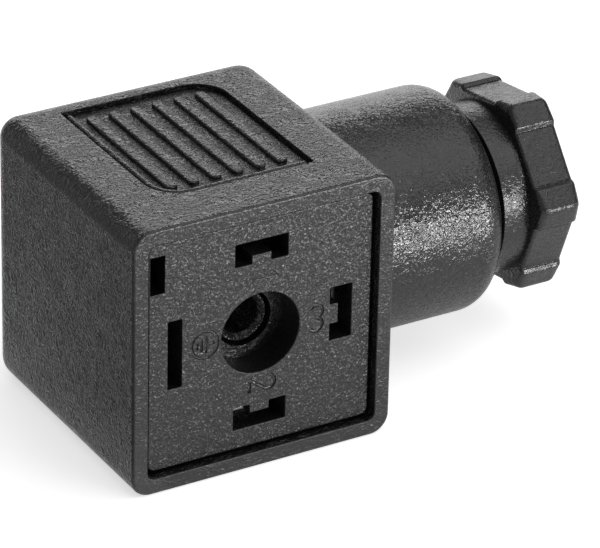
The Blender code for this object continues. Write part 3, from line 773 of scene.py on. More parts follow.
@dataclass(frozen=True)
class Rubber(SurfaceFinish):
    """Soft black rubber with a dull, faintly bloomed skin."""

    dark: Colour = (0.010, 0.010, 0.010)
    bloom: Colour = (0.032, 0.031, 0.030)
    dull: float = 0.72
    grain: float = 0.25 * MM
    grain_depth: float = 0.008 * MM
    cloud: float = 2.5 * MM

    def make(self) -> bpy.types.Material:
        """Build the finish.

        Returns:
            Its material.
        """
        finish, graph = self.start()
        place = graph.place()
        grain = graph.noise(place, self.grain, 3.0).outputs[0]
        tint = graph.blend(graph.noise(place, self.cloud, 4.0).outputs[0], self.dark, self.bloom)
        bump = graph.add("ShaderNodeBump", {"Distance": self.grain_depth, "Height": grain})
        graph.shade({"Base Color": tint, "Roughness": self.dull, "Normal": bump.outputs[0]})
        return finish


@dataclass(frozen=True)
class PlatedMetal(SurfaceFinish):
    """Plated sheet or turned metal, with fine drawn lines and cloudy dulling."""

    bright: Colour
    dulled: Colour
    glossy: float = 0.22
    dull: float = 0.42
    line: float = 0.05 * MM
    line_shape: Triple = (1.0, 0.06, 1.0)
    line_depth: float = 0.003 * MM
    cloud: float = 0.9 * MM

    def make(self) -> bpy.types.Material:
        """Build the finish.

        Returns:
            Its material.
        """
        finish, graph = self.start()
        place = graph.place()
        drawn = graph.add("ShaderNodeMapping", {"Vector": place, "Scale": self.line_shape})
        lines = graph.noise(drawn.outputs[0], self.line, 2.0).outputs[0]
        cloud = graph.noise(place, self.cloud, 4.0).outputs[0]
        tint = graph.blend(cloud, self.bright, self.dulled)
        shine = {"Value": cloud, "To Min": self.glossy, "To Max": self.dull}
        rough = graph.add("ShaderNodeMapRange", shine).outputs[0]
        bump = graph.add("ShaderNodeBump", {"Distance": self.line_depth, "Height": lines}).outputs[0]
        graph.shade({"Metallic": 1.0, "Base Color": tint, "Roughness": rough, "Normal": bump})
        return finish


@dataclass(frozen=True)
class PlainPaint(SurfaceFinish):
    """Plain paint of the floor and the cards, which may glow."""

    grey: float
    glow: float = 0.0
    dull: float = 0.5
    shine: float = 0.5

    def make(self) -> bpy.types.Material:
        """Build the paint.

        Returns:
            Its material.
        """
        finish, graph = self.start()
        graph.shade(
            {
                "Base Color": (self.grey, self.grey, self.grey, 1.0),
                "Roughness": self.dull,
                "Specular IOR Level": self.shine,
                "Emission Color": (1.0, 1.0, 1.0, 1.0),
                "Emission Strength": self.glow,
            }
        )
        return finish


class Finishes:
    """Every finish of the plug, and the patterns that repeat on it."""

    def __init__(self) -> None:
        """Build the materials and the Geometry Nodes trees once."""
        self.shell = MouldedNylon("black_nylon_shell").make()
        self.sleeve = MouldedNylon(
            "black_nylon_sleeve", glossy=0.18, dull=0.29, tilt=0.25, fibre_depth=0.02 * MM
        ).make()
        self.rim = MouldedNylon(
            "black_nylon_rim",
            glossy=0.28,
            dull=0.40,
            tilt=0.20,
            grain_depth=0.03 * MM,
            fibre_depth=0.016 * MM,
        ).make()
        self.face = MouldedNylon(
            "black_nylon_face",
            dark=(0.002, 0.002, 0.0022),
            pale=(0.007, 0.007, 0.0075),
            glossy=0.31,
            dull=0.42,
            facet=0.12 * MM,
            tilt=0.34,
            fibre_depth=0.010 * MM,
        ).make()
        self.nut = MouldedNylon(
            "black_nylon_nut",
            glossy=0.22,
            dull=0.34,
            tilt=0.15,
            grain_depth=0.03 * MM,
            fibre_depth=0.02 * MM,
        ).make()
        self.washer = MouldedNylon(
            "grey_nylon_washer", dark=(0.16, 0.16, 0.16), pale=(0.24, 0.24, 0.24), fibre_depth=0.004 * MM
        ).make()
        self.rubber = Rubber("black_rubber_seal").make()
        self.brass = PlatedMetal(
            "tinned_brass_sheet",
            bright=(0.27, 0.26, 0.24),
            dulled=(0.16, 0.15, 0.14),
            glossy=0.40,
            dull=0.58,
        ).make()
        self.zinc = PlatedMetal("zinc_steel_plate", (0.74, 0.75, 0.78), (0.56, 0.57, 0.60)).make()
        self.thread = thread_pattern()
        self.bead = bead_pattern()
        self.row = row_pattern()


def packed_joint(frame: dict[str, Any], name: str) -> dict[str, Any]:
    """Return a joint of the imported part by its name."""
    return next(joint for joint in frame["joints"] if joint["name"] == name)


@dataclass(frozen=True)
class Places:
    """Places that every sub-assembly works from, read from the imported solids."""

    half_width: float
    front: float
    rear: float
    axis_height: float
    sleeve_end: float
    gland_depth: float

    @classmethod
    def read(cls, frame: dict[str, Any]) -> "Places":
        """Read the places from the housing's box and the gland's hinge.

        Args:
            frame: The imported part.

        Returns:
            The places.
        """
        low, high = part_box("housing")
        return cls(
            half_width=-low.x,
            front=low.y,
            rear=high.y,
            axis_height=(low.z + high.z) / 2,
            sleeve_end=high.x,
            gland_depth=packed_joint(frame, "gland_turn")["pos_m"][1],
        )

    @property
    def depth(self) -> float:
        """The housing's depth from its rim to its rear."""
        return self.rear - self.front

    @property
    def mating(self) -> Vector:
        """The middle of the front rim, where depths start."""
        return Vector((0.0, self.front, self.axis_height))

    @property
    def gland(self) -> Vector:
        """The gland's axis at the middle of the plug."""
        return Vector((0.0, self.gland_depth, self.axis_height))


@dataclass
class SubAssembly:
    """What every sub-assembly has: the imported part, the plug's places and its finishes."""

    frame: dict[str, Any]
    places: Places
    finishes: Finishes

    def hand_over(
        self, piece: Piece, finish: bpy.types.Material, body: str, slot: str, *nodes: str
    ) -> None:
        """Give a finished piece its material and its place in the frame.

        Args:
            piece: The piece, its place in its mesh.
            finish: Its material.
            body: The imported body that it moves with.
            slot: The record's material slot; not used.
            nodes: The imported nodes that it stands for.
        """
        piece.data.materials.clear()
        piece.data.materials.append(finish)
        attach(piece, body)
        if nodes:
            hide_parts(*nodes)
        LOG.info("%s: %d faces on %s", piece.name, len(piece.data.polygons), body)

    def thread(self, name: str, axis: Axis, start: Vector, **sizes: float) -> Piece:
        """Make a screw thread.

        Args:
            name: The piece's name.
            axis: The way that it runs.
            start: Where it starts, on its axis.
            sizes: The thread pattern's sizes.

        Returns:
            The thread.
        """
        turn = Matrix.Rotation(math.pi / 2, 4, "Y")
        if axis is Axis.MATING:
            turn = Matrix.Rotation(-math.pi / 2, 4, "X")
        return smooth(self.finishes.thread.make(name, [], Matrix.Translation(start) @ turn, **sizes))


@dataclass
class Housing(SubAssembly):
    """The moulded shell with its gland sleeve, wire space, screw tube and ribbed panel."""

    edge_radius: float = 1.9 * MM
    back_radius: float = 2.8 * MM
    rim_radius: float = 0.3 * MM
    corner_share: float = 0.4
    wall: float = 1.6 * MM
    back_wall: float = 2.4 * MM
    cavity_corner: float = 0.8 * MM
    mouth_radius: float = 0.12 * MM
    sleeve_radius: float = 11.3 * MM
    sleeve_end_length: float = 2.4 * MM
    sleeve_end_drop: float = 1.9 * MM
    sleeve_foot: float = 0.3 * MM
    sleeve_bite: float = 0.5 * MM
    bore_radius: float = 9.3 * MM
    seat: float = 0.6 * MM
    cable_hole: float = 6.2 * MM
    thread_pitch: float = 1.411 * MM
    thread_ridge: float = 0.14 * MM
    thread_length: float = 8.0 * MM
    thread_runout: float = 0.5
    panel_width: float = 16.1 * MM
    panel_length: float = 19.8 * MM
    panel_depth: float = 15.25 * MM
    panel_recess: float = 0.45 * MM
    panel_round: float = 3.4 * MM
    panel_sharp: float = 0.3 * MM
    panel_margin: float = 1.7 * MM
    panel_mouth: float = 0.10 * MM
    moat_width: float = 0.26 * MM
    moat_depth: float = 0.22 * MM
    border_radius: float = 0.36 * MM
    rib_count: int = 6
    rib_width: float = 1.1 * MM
    rib_drop: float = 0.1 * MM
    rib_round: float = 0.22 * MM
    rib_corner: float = 0.44 * MM
    tube_radius: float = 2.6 * MM
    tube_front: float = 4.4 * MM
    tube_bore: float = 1.95 * MM
    tube_chamfer: float = 0.4 * MM
    tube_base_wall: float = 1.6 * MM
    tube_base_round: float = 0.4 * MM
    tube_foot: float = 0.5 * MM
    tube_tip_round: float = 0.1 * MM
    counterbore_radius: float = 3.55 * MM
    counterbore_depth: float = 4.0 * MM
    counterbore_mouth: float = 0.2 * MM
    parting_angle: float = math.radians(-3.0)
    parting_radius: float = 0.06 * MM
    parting_length: float = 6.0 * MM

    def build(self) -> None:
        """Build the shell, its ribs and the thread in its sleeve."""
        carving = Carving(self.block())
        carving.join(self.sleeve())
        carving.cut(self.cavity(), self.gland_bore())
        carving.join(self.tube())
        carving.cut(self.screw_bore(), self.panel(), self.parting_line())
        carving.join(self.panel_pad())
        shell = carving.finish()
        self.hand_over(shell, self.finishes.shell, "housing", "black_nylon", "housing")
        self.zone(shell)
        for piece in (self.ribs(), self.panel_border(), self.sleeve_thread()):
            self.hand_over(piece, self.finishes.shell, "housing", "black_nylon")

    def zone(self, shell: Piece) -> None:
        """Give the sleeve its glossier finish and the front rim its smoother one.

        Args:
            shell: The shell, which has its main finish.
        """
        shell.data.materials.append(self.finishes.sleeve)
        shell.data.materials.append(self.finishes.rim)
        for face in shell.data.polygons:
            if face.center.x > self.places.half_width:
                face.material_index = 1
            elif face.center.y < self.places.front + self.mouth_radius:
                face.material_index = 2

    def square(self, half: float, growth: float) -> Outline:
        """Return the housing's outline at a rounded edge, its corners a little tighter there."""
        radius = max(self.edge_radius + self.corner_share * growth, self.cavity_corner)
        return rectangle(half + growth, half + growth, (radius,) * 4, WIDE_STEPS)

    def block(self) -> Piece:
        """Make the solid block with its rounded edges.

        Returns:
            The block.
        """
        half = self.places.half_width
        rings = [(along, self.square(half, growth)) for along, growth in edge_round(self.rim_radius)]
        for along, growth in reversed(edge_round(self.back_radius, WIDE_STEPS)):
            rings.append((self.places.depth - along, self.square(half, growth)))
        return loft("housing_shell", Axis.MATING, self.places.mating, rings)

    def sleeve(self) -> Piece:
        """Make the sleeve, rounded over at its end and filleted at its foot.

        Returns:
            The sleeve, still solid.
        """
        end = self.places.sleeve_end
        shoulder = end - self.sleeve_end_length
        inner = self.sleeve_radius - self.sleeve_end_drop
        profile = [(0.0, end)]
        for across, along in arc((0.0, 0.0), 1.0, math.pi / 2, 0.0, SWEEP_STEPS):
            radius = inner + self.sleeve_end_drop * across
            profile.append((radius, shoulder + self.sleeve_end_length * along))
        side = self.places.half_width
        for step in range(MOUTH_STEPS + 1):
            angle = FLARE_ANGLE * step / MOUTH_STEPS
            growth = self.sleeve_foot * (1 - math.cos(angle))
            profile.append((self.sleeve_radius + growth, side + self.sleeve_foot * (1 - math.sin(angle))))
        profile.append((self.sleeve_radius + self.sleeve_foot, side - self.sleeve_bite))
        profile.append((0.0, side - self.sleeve_bite))
        return turned("sleeve_body", Axis.GLAND, self.places.gland, profile, LARGE_TURN)

    def cavity(self) -> Piece:
        """Make the wire space, its mouth eased at the rim.

        Returns:
            The cutter.
        """
        half = self.places.half_width - self.wall
        outline = rectangle(half, half, (self.cavity_corner,) * 4, ROUND_STEPS)
        rings = ringed(outline, mouth_round(self.mouth_radius))
        rings.append((self.places.depth - self.back_wall, outline))
        return loft("wire_space", Axis.MATING, self.places.mating, rings)

    def gland_bore(self) -> Piece:
        """Make the sleeve's stepped bore, through the seat into the wire space.

        Returns:
            The cutter.
        """
        side = self.places.half_width
        profile = [
            (0.0, self.places.sleeve_end + PIERCE),
            (self.bore_radius, self.places.sleeve_end + PIERCE),
            (self.bore_radius, side + self.seat),
            (self.cable_hole, side + self.seat),
            (self.cable_hole, side - self.wall - PIERCE),
            (0.0, side - self.wall - PIERCE),
        ]
        return turned("gland_bore", Axis.GLAND, self.places.gland, profile, LARGE_TURN, HALF_FACET)

    def tube(self) -> Piece:
        """Make the tube that guides the centre screw, with a stout base at the rear wall.

        Returns:
            The tube, still solid.
        """
        base = self.counterbore_radius + self.tube_base_wall
        base_front = self.places.depth - self.counterbore_depth - self.tube_base_wall
        rear = self.places.depth - self.back_wall + BITE
        corners = [
            (0.0, rear, 0.0),
            (base, rear, 0.0),
            (base, base_front, self.tube_base_round),
            (self.tube_radius, base_front, self.tube_foot),
            (self.tube_radius, self.tube_front, self.tube_tip_round),
            (0.0, self.tube_front, 0.0),
        ]
        profile = rounded_path(corners, ROUND_STEPS, closed=False)
        return turned("screw_tube", Axis.MATING, self.places.mating, profile, SMALL_TURN)

    def screw_bore(self) -> Piece:
        """Make the centre screw's bore, chamfered in front and counterbored at the rear.

        Returns:
            The cutter.
        """
        floor = self.places.depth - self.counterbore_depth
        mouth = self.tube_bore + self.tube_chamfer + PIERCE
        profile = [(0.0, self.places.depth + MOUTH_REACH)]
        for depth, growth in mouth_round(self.counterbore_mouth):
            profile.append((self.counterbore_radius + growth, self.places.depth - depth))
        profile += [
            (self.counterbore_radius, floor),
            (self.tube_bore, floor),
            (self.tube_bore, self.tube_front + self.tube_chamfer),
            (mouth, self.tube_front - PIERCE),
            (0.0, self.tube_front - PIERCE),
        ]
        return turned("screw_bore", Axis.MATING, self.places.mating, profile, SMALL_TURN, HALF_FACET)

    def panel_centre(self) -> Vector:
        """Return the middle of the panel, on the housing's upper side."""
        top = self.places.axis_height + self.places.half_width
        return Vector((0.0, self.places.front + self.panel_depth, top))

    def panel_outline(self, inset: float) -> Outline:
        """Return the panel's outline moved in, with two opposite corners round."""
        radii = (self.panel_round - inset, self.panel_sharp) * 2
        return rectangle(self.panel_width / 2 - inset, self.panel_length / 2 - inset, radii, SWEEP_STEPS)

    def panel(self) -> Piece:
        """Make the panel's shallow recess, down to the moat round its floor.

        Returns:
            The cutter.
        """
        outline = self.panel_outline(0.0)
        rings = ringed(outline, mouth_round(self.panel_mouth))
        rings.append((self.panel_recess + self.moat_depth, outline))
        return loft("panel_recess", Axis.SUNK, self.panel_centre(), rings)

    def panel_pad(self) -> Piece:
        """Make the panel's floor, which stands a little higher than the moat.

        Returns:
            The floor.
        """
        outline = self.panel_outline(self.moat_width)
        rings = ringed(outline, edge_round(self.panel_mouth, TIGHT_STEPS), self.panel_recess)
        rings.append((self.panel_recess + 2 * self.moat_depth, outline))
        return loft("panel_pad", Axis.SUNK, self.panel_centre(), rings)

    def panel_border(self) -> Piece:
        """Make the bead along the panel's left and front sides.

        Returns:
            The bead.
        """
        inset = self.moat_width + self.border_radius
        half_width = self.panel_width / 2 - inset
        half_length = self.panel_length / 2 - inset
        corners = [
            (-half_width, half_length, 0.0),
            (-half_width, -half_length, self.panel_round - inset),
            (half_width, -half_length, 0.0),
        ]
        path = rounded_path(corners, SWEEP_STEPS, closed=False)
        depth = self.rib_drop + self.border_radius
        place = Matrix.Translation(self.panel_centre() - Vector((0.0, 0.0, depth)))
        return smooth(self.finishes.bead.make("panel_border", path, place, Radius=self.border_radius))

    def parting_line(self) -> Piece:
        """Make the fine groove that the mould's joint leaves along the sleeve.

        Returns:
            The cutter.
        """
        end = self.places.sleeve_end - self.sleeve_end_length / 2
        start = end - self.parting_length
        across = self.places.gland_depth - self.sleeve_radius * math.cos(self.parting_angle)
        height = self.places.axis_height + self.sleeve_radius * math.sin(self.parting_angle)
        plane = Matrix.Translation((0.0, across, height))
        path = [(start, 0.0), (end, 0.0)]
        return self.finishes.bead.make("parting_line", path, plane, Radius=self.parting_radius)

    def ribs(self) -> Piece:
        """Make the row of straight ribs that stand in the panel.

        Returns:
            The ribs.
        """
        length = self.panel_length - 2 * self.panel_margin
        span = self.panel_width - 2 * self.panel_margin - self.rib_width
        outline = rectangle(self.rib_width / 2, length / 2, (self.rib_corner,) * 4, ROUND_STEPS)
        rings = ringed(outline, edge_round(self.rib_round), self.rib_drop)
        rings.append((self.panel_recess + self.rib_drop, outline))
        bar = loft("rib", Axis.SUNK, Vector((0.0, 0.0, 0.0)), rings)
        pitch = span / (self.rib_count - 1)
        place = Matrix.Translation(self.panel_centre())
        row = self.finishes.row.make("panel_ribs", [], place, Pitch=pitch, Pieces=self.rib_count, Bar=bar)
        bpy.data.objects.remove(bar, do_unlink=True)
        return smooth(row)

    def sleeve_thread(self) -> Piece:
        """Make the thread inside the sleeve's mouth.

        Returns:
            The thread.
        """
        start = self.places.sleeve_end - self.sleeve_end_length / 2 - self.thread_length
        return self.thread(
            "sleeve_thread",
            Axis.GLAND,
            self.places.gland + Vector((start, 0.0, 0.0)),
            Core=self.bore_radius,
            Ridge=self.thread_ridge,
            Pitch=self.thread_pitch,
            Length=self.thread_length,
            Runout=self.thread_runout,
        )


@dataclass
class ContactInsert(SubAssembly):
    """The contact carrier with its blade slots, boss socket, terminal walls and engraved marks."""

    plate: float = 4.2 * MM
    plate_corner: float = 0.8 * MM
    face_edge: float = 0.2 * MM
    arm_inset: float = 0.3 * MM
    arm_depth: float = 9.85 * MM
    arm_half_width: float = 5.3 * MM
    arm_edge: float = 0.2 * MM
    cheek_height: float = 2.8 * MM
    cheek_inset: float = 0.2 * MM
    cheek_edge: float = 0.12 * MM
    cheek_start: float = 6.8 * MM
    chamber_high: float = 10.4 * MM
    chamber_low: float = 7.6 * MM
    chamber_step: float = 0.15 * MM
    line_chamber: float = 3.4 * MM
    earth_chamber: float = 4.15 * MM
    contact_radius: float = 9.0 * MM
    slot_half_thickness: float = 0.725 * MM
    line_slot: float = 2.78 * MM
    earth_slot: float = 3.53 * MM
    leg_width: float = 1.75 * MM
    leg_depth: float = 0.87 * MM
    slot_corner: float = 0.10 * MM
    slot_mouth: float = 0.10 * MM
    slot_overlap: float = 0.15 * MM
    front_lip: float = 3.0 * MM
    screw_hole: float = 1.8 * MM
    screw_hole_depth: float = 8.55 * MM
    socket_radius: float = 4.13 * MM
    socket_depth: float = 3.25 * MM
    socket_mouth: float = 0.16 * MM
    tube_hole: float = 2.9 * MM
    notch_width: float = 1.5 * MM
    notch_length: float = 3.85 * MM
    notch_edge: float = 0.2 * MM
    notch_corner: float = 1.25 * MM
    notch_round: float = 0.08 * MM
    notch_mouth: float = 0.06 * MM
    notch_reach: float = 0.08 * MM
    mark_radius: float = 0.19 * MM
    mark_steps: int = 14
    sign_steps: int = 40
    sign_radius: float = 0.15 * MM
    mark_lift: float = 0.01 * MM
    worn_lift: float = 0.11 * MM
    half: float = field(init=False)
    face: float = field(init=False)
    arm_rear: float = field(init=False)

    def build(self) -> None:
        """Build the carrier and hand it over."""
        low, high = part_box("contact_insert")
        self.half = high.x
        self.face = low.y - self.places.front
        self.arm_rear = self.face + self.arm_depth
        carving = Carving(self.face_plate())
        carving.join(self.arm("upright_arm", upright=True), self.arm("level_arm", upright=False))
        for station in Station:
            carving.join(self.terminal_wall(station))
        for station in Station:
            carving.cut(self.slot(station), self.chamber(station), self.terminal_hole(station))
        carving.cut(self.socket(), self.notch(), *self.marks())
        self.hand_over(carving.finish(), self.finishes.face, "insert", "black_nylon", "contact_insert")

    def face_plate(self) -> Piece:
        """Make the plate, its front edge eased.

        Returns:
            The plate.
        """
        outline = rectangle(self.half, self.half, (self.plate_corner,) * 4, ROUND_STEPS)
        rings = ringed(outline, edge_round(self.face_edge), self.face)
        rings.append((self.face + self.plate, outline))
        return loft("insert_body", Axis.MATING, self.places.mating, rings)

    def arm(self, name: str, upright: bool) -> Piece:
        """Make one of the two crossed arms behind the plate.

        Args:
            name: The arm's name.
            upright: Whether it stands upright or lies level.

        Returns:
            The arm.
        """
        reach = self.half - self.arm_inset
        sizes = (self.arm_half_width, reach) if upright else (reach, self.arm_half_width)
        outline = rectangle(*sizes, (self.arm_edge,) * 4, TIGHT_STEPS)
        rings = [(self.face + self.plate - BITE, outline)]
        for along, growth in reversed(edge_round(self.arm_edge / 2, TIGHT_STEPS)):
            rings.append((self.arm_rear - along, grown(outline, growth)))
        return loft(name, Axis.MATING, self.places.mating, rings)

    def chamber_half(self, station: Station) -> float:
        """Return half the width of a contact's chamber."""
        return self.earth_chamber if station is Station.EARTH else self.line_chamber

    def terminal_wall(self, station: Station) -> Piece:
        """Make the wall round three sides of a terminal.

        Args:
            station: The contact's place.

        Returns:
            The wall.
        """
        inner = self.chamber_half(station) + self.chamber_step
        inner_end = self.chamber_high + self.chamber_step
        outer = self.arm_half_width - self.cheek_inset
        outer_end = self.half - self.arm_inset - self.cheek_inset
        start = self.cheek_start
        outline = [
            (outer, start),
            (outer, outer_end),
            (-outer, outer_end),
            (-outer, start),
            (-inner, start),
            (-inner, inner_end),
            (inner, inner_end),
            (inner, start),
        ]
        rings = [(self.arm_rear - BITE, station.turn(outline))]
        for along, growth in reversed(edge_round(self.cheek_edge, TIGHT_STEPS)):
            rings.append((self.arm_rear + self.cheek_height - along, station.turn(grown(outline, growth))))
        return loft("wall_" + station.label, Axis.MATING, self.places.mating, rings)

    def slot(self, station: Station) -> Piece:
        """Make a blade slot: a bar, with two legs towards the axis for a line contact.

        Args:
            station: The contact's place.

        Returns:
            The cutter.
        """
        outer = self.contact_radius + self.slot_half_thickness
        inner = self.contact_radius - self.slot_half_thickness
        ease = self.slot_corner
        if station is Station.EARTH:
            half = self.earth_slot
            corners = [(half, inner, ease), (half, outer, ease), (-half, outer, ease), (-half, inner, ease)]
        else:
            half = self.line_slot
            side = half - self.leg_width
            end = inner - self.leg_depth
            corners = [(half, outer, ease), (-half, outer, ease), (-half, end, ease), (-side, end, ease)]
            corners += [(-side, inner, 0.0), (side, inner, 0.0), (side, end, ease), (half, end, ease)]
        outline = rounded_path(corners, TIGHT_STEPS)
        rings = []
        for depth, growth in mouth_round(self.slot_mouth):
            rings.append((self.face + depth, station.turn(grown(outline, growth))))
        rings.append((self.face + self.front_lip + self.slot_overlap, station.turn(outline)))
        return loft("slot_" + station.label, Axis.MATING, self.places.mating, rings)

    def chamber(self, station: Station) -> Piece:
        """Make the contact's chamber behind its slot.

        Args:
            station: The contact's place.

        Returns:
            The cutter.
        """
        half = self.chamber_half(station)
        outline = [
            (half, self.chamber_low),
            (half, self.chamber_high),
            (-half, self.chamber_high),
            (-half, self.chamber_low),
        ]
        rear = self.arm_rear + self.cheek_height + PIERCE
        rings = [(depth, station.turn(outline)) for depth in (self.face + self.front_lip, rear)]
        return loft("chamber_" + station.label, Axis.MATING, self.places.mating, rings)

    def terminal_hole(self, station: Station) -> Piece:
        """Make a terminal screw's hole.

        Args:
            station: The contact's place.

        Returns:
            The cutter.
        """
        low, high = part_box("terminal_screw_" + station.label)
        middle = (low + high) / 2
        rear = self.arm_rear + PIERCE
        profile = [
            (0.0, rear),
            (self.screw_hole, rear),
            (self.screw_hole, self.screw_hole_depth),
            (0.0, self.screw_hole_depth),
        ]
        origin = Vector((middle.x, self.places.front, middle.z))
        return turned("hole_" + station.label, Axis.MATING, origin, profile, SMALL_TURN)

    def socket(self) -> Piece:
        """Make the boss socket, with the screw tube's hole behind it.

        Returns:
            The cutter.
        """
        floor = self.face + self.socket_depth
        rear = self.arm_rear + PIERCE
        profile = [
            (0.0, rear),
            (self.tube_hole, rear),
            (self.tube_hole, floor),
            (self.socket_radius, floor),
        ]
        for depth, growth in reversed(mouth_round(self.socket_mouth)):
            profile.append((self.socket_radius + growth, self.face + depth))
        profile.append((0.0, profile[-1][1]))
        return turned("socket", Axis.MATING, self.places.mating, profile, SOCKET_TURN)

    def notch(self) -> Piece:
        """Make the notch where a blade levers the carrier out.

        Returns:
            The cutter.
        """
        radii = (self.notch_round,) * 4
        outline = rectangle(self.notch_width / 2, self.notch_length / 2, radii, TIGHT_STEPS)
        across = -self.half + self.notch_edge + self.notch_width / 2
        up = self.half - self.notch_corner - self.notch_length / 2
        origin = self.places.mating + Vector((across, 0.0, up))
        rings = ringed(outline, mouth_round(self.notch_mouth, self.notch_reach), self.face)
        rings.append((self.face + self.plate + PIERCE, outline))
        return loft("pry_notch", Axis.MATING, origin, rings)

    def marks(self) -> list[Piece]:
        """Draw the strokes that engrave the contacts' numbers and the earth sign.

        Returns:
            The cutters, one for each stroke.
        """
        three = [
            arc((0.0, 0.67 * MM), 0.68 * MM, 2.6, -1.45, self.mark_steps),
            arc((0.0, -0.67 * MM), 0.68 * MM, 1.45, -2.6, self.mark_steps),
        ]
        two = [
            arc((0.0, 0.66 * MM), 0.69 * MM, 2.9, -0.6, self.mark_steps) + [(-0.66 * MM, -1.35 * MM)],
            [(-0.8 * MM, -1.35 * MM), (0.74 * MM, -1.35 * MM)],
        ]
        one = [[(-0.5 * MM, 0.8 * MM), (0.04 * MM, 1.35 * MM)], [(0.0, 1.4 * MM), (0.0, -1.35 * MM)]]
        ring = arc((0.0, 0.0), 1.38 * MM, math.pi / 2, math.pi / 2 + 2 * math.pi, self.sign_steps)
        stem = [(0.0, 1.0 * MM), (0.0, 0.06 * MM)]
        lowest = self.sign_steps // 2
        sign = [ring[: lowest + 1], ring[lowest:]]
        for height, half in ((0.12 * MM, 0.85 * MM), (-0.36 * MM, 0.60 * MM), (-0.82 * MM, 0.34 * MM)):
            sign.append([(-half, height), (half, height)])
        upright, lying = 0.0, -math.pi / 2
        by_three, by_two, by_one = (5.9 * MM, 0.0), (0.24 * MM, -5.4 * MM), (0.35 * MM, 5.63 * MM)
        by_earth = (-5.87 * MM, 0.23 * MM)
        groups = (
            (three, by_three, upright, self.mark_lift, self.mark_radius),
            (two, by_two, lying, self.mark_lift, self.mark_radius),
            (one, by_one, lying, self.worn_lift, self.mark_radius),
            (sign, by_earth, lying, self.mark_lift, self.sign_radius),
            ([stem], by_earth, lying, 2 * self.mark_lift, self.sign_radius),
        )
        beads = []
        for paths, (across, up), turn, lift, radius in groups:
            spot = Matrix.Translation(self.places.mating + Vector((across, self.face - lift, up)))
            plane = spot @ Matrix.Rotation(math.pi / 2, 4, "X") @ Matrix.Rotation(turn, 4, "Z")
            for path in paths:
                beads.append(self.finishes.bead.make("mark_%d" % len(beads), path, plane, Radius=radius))
        return beads


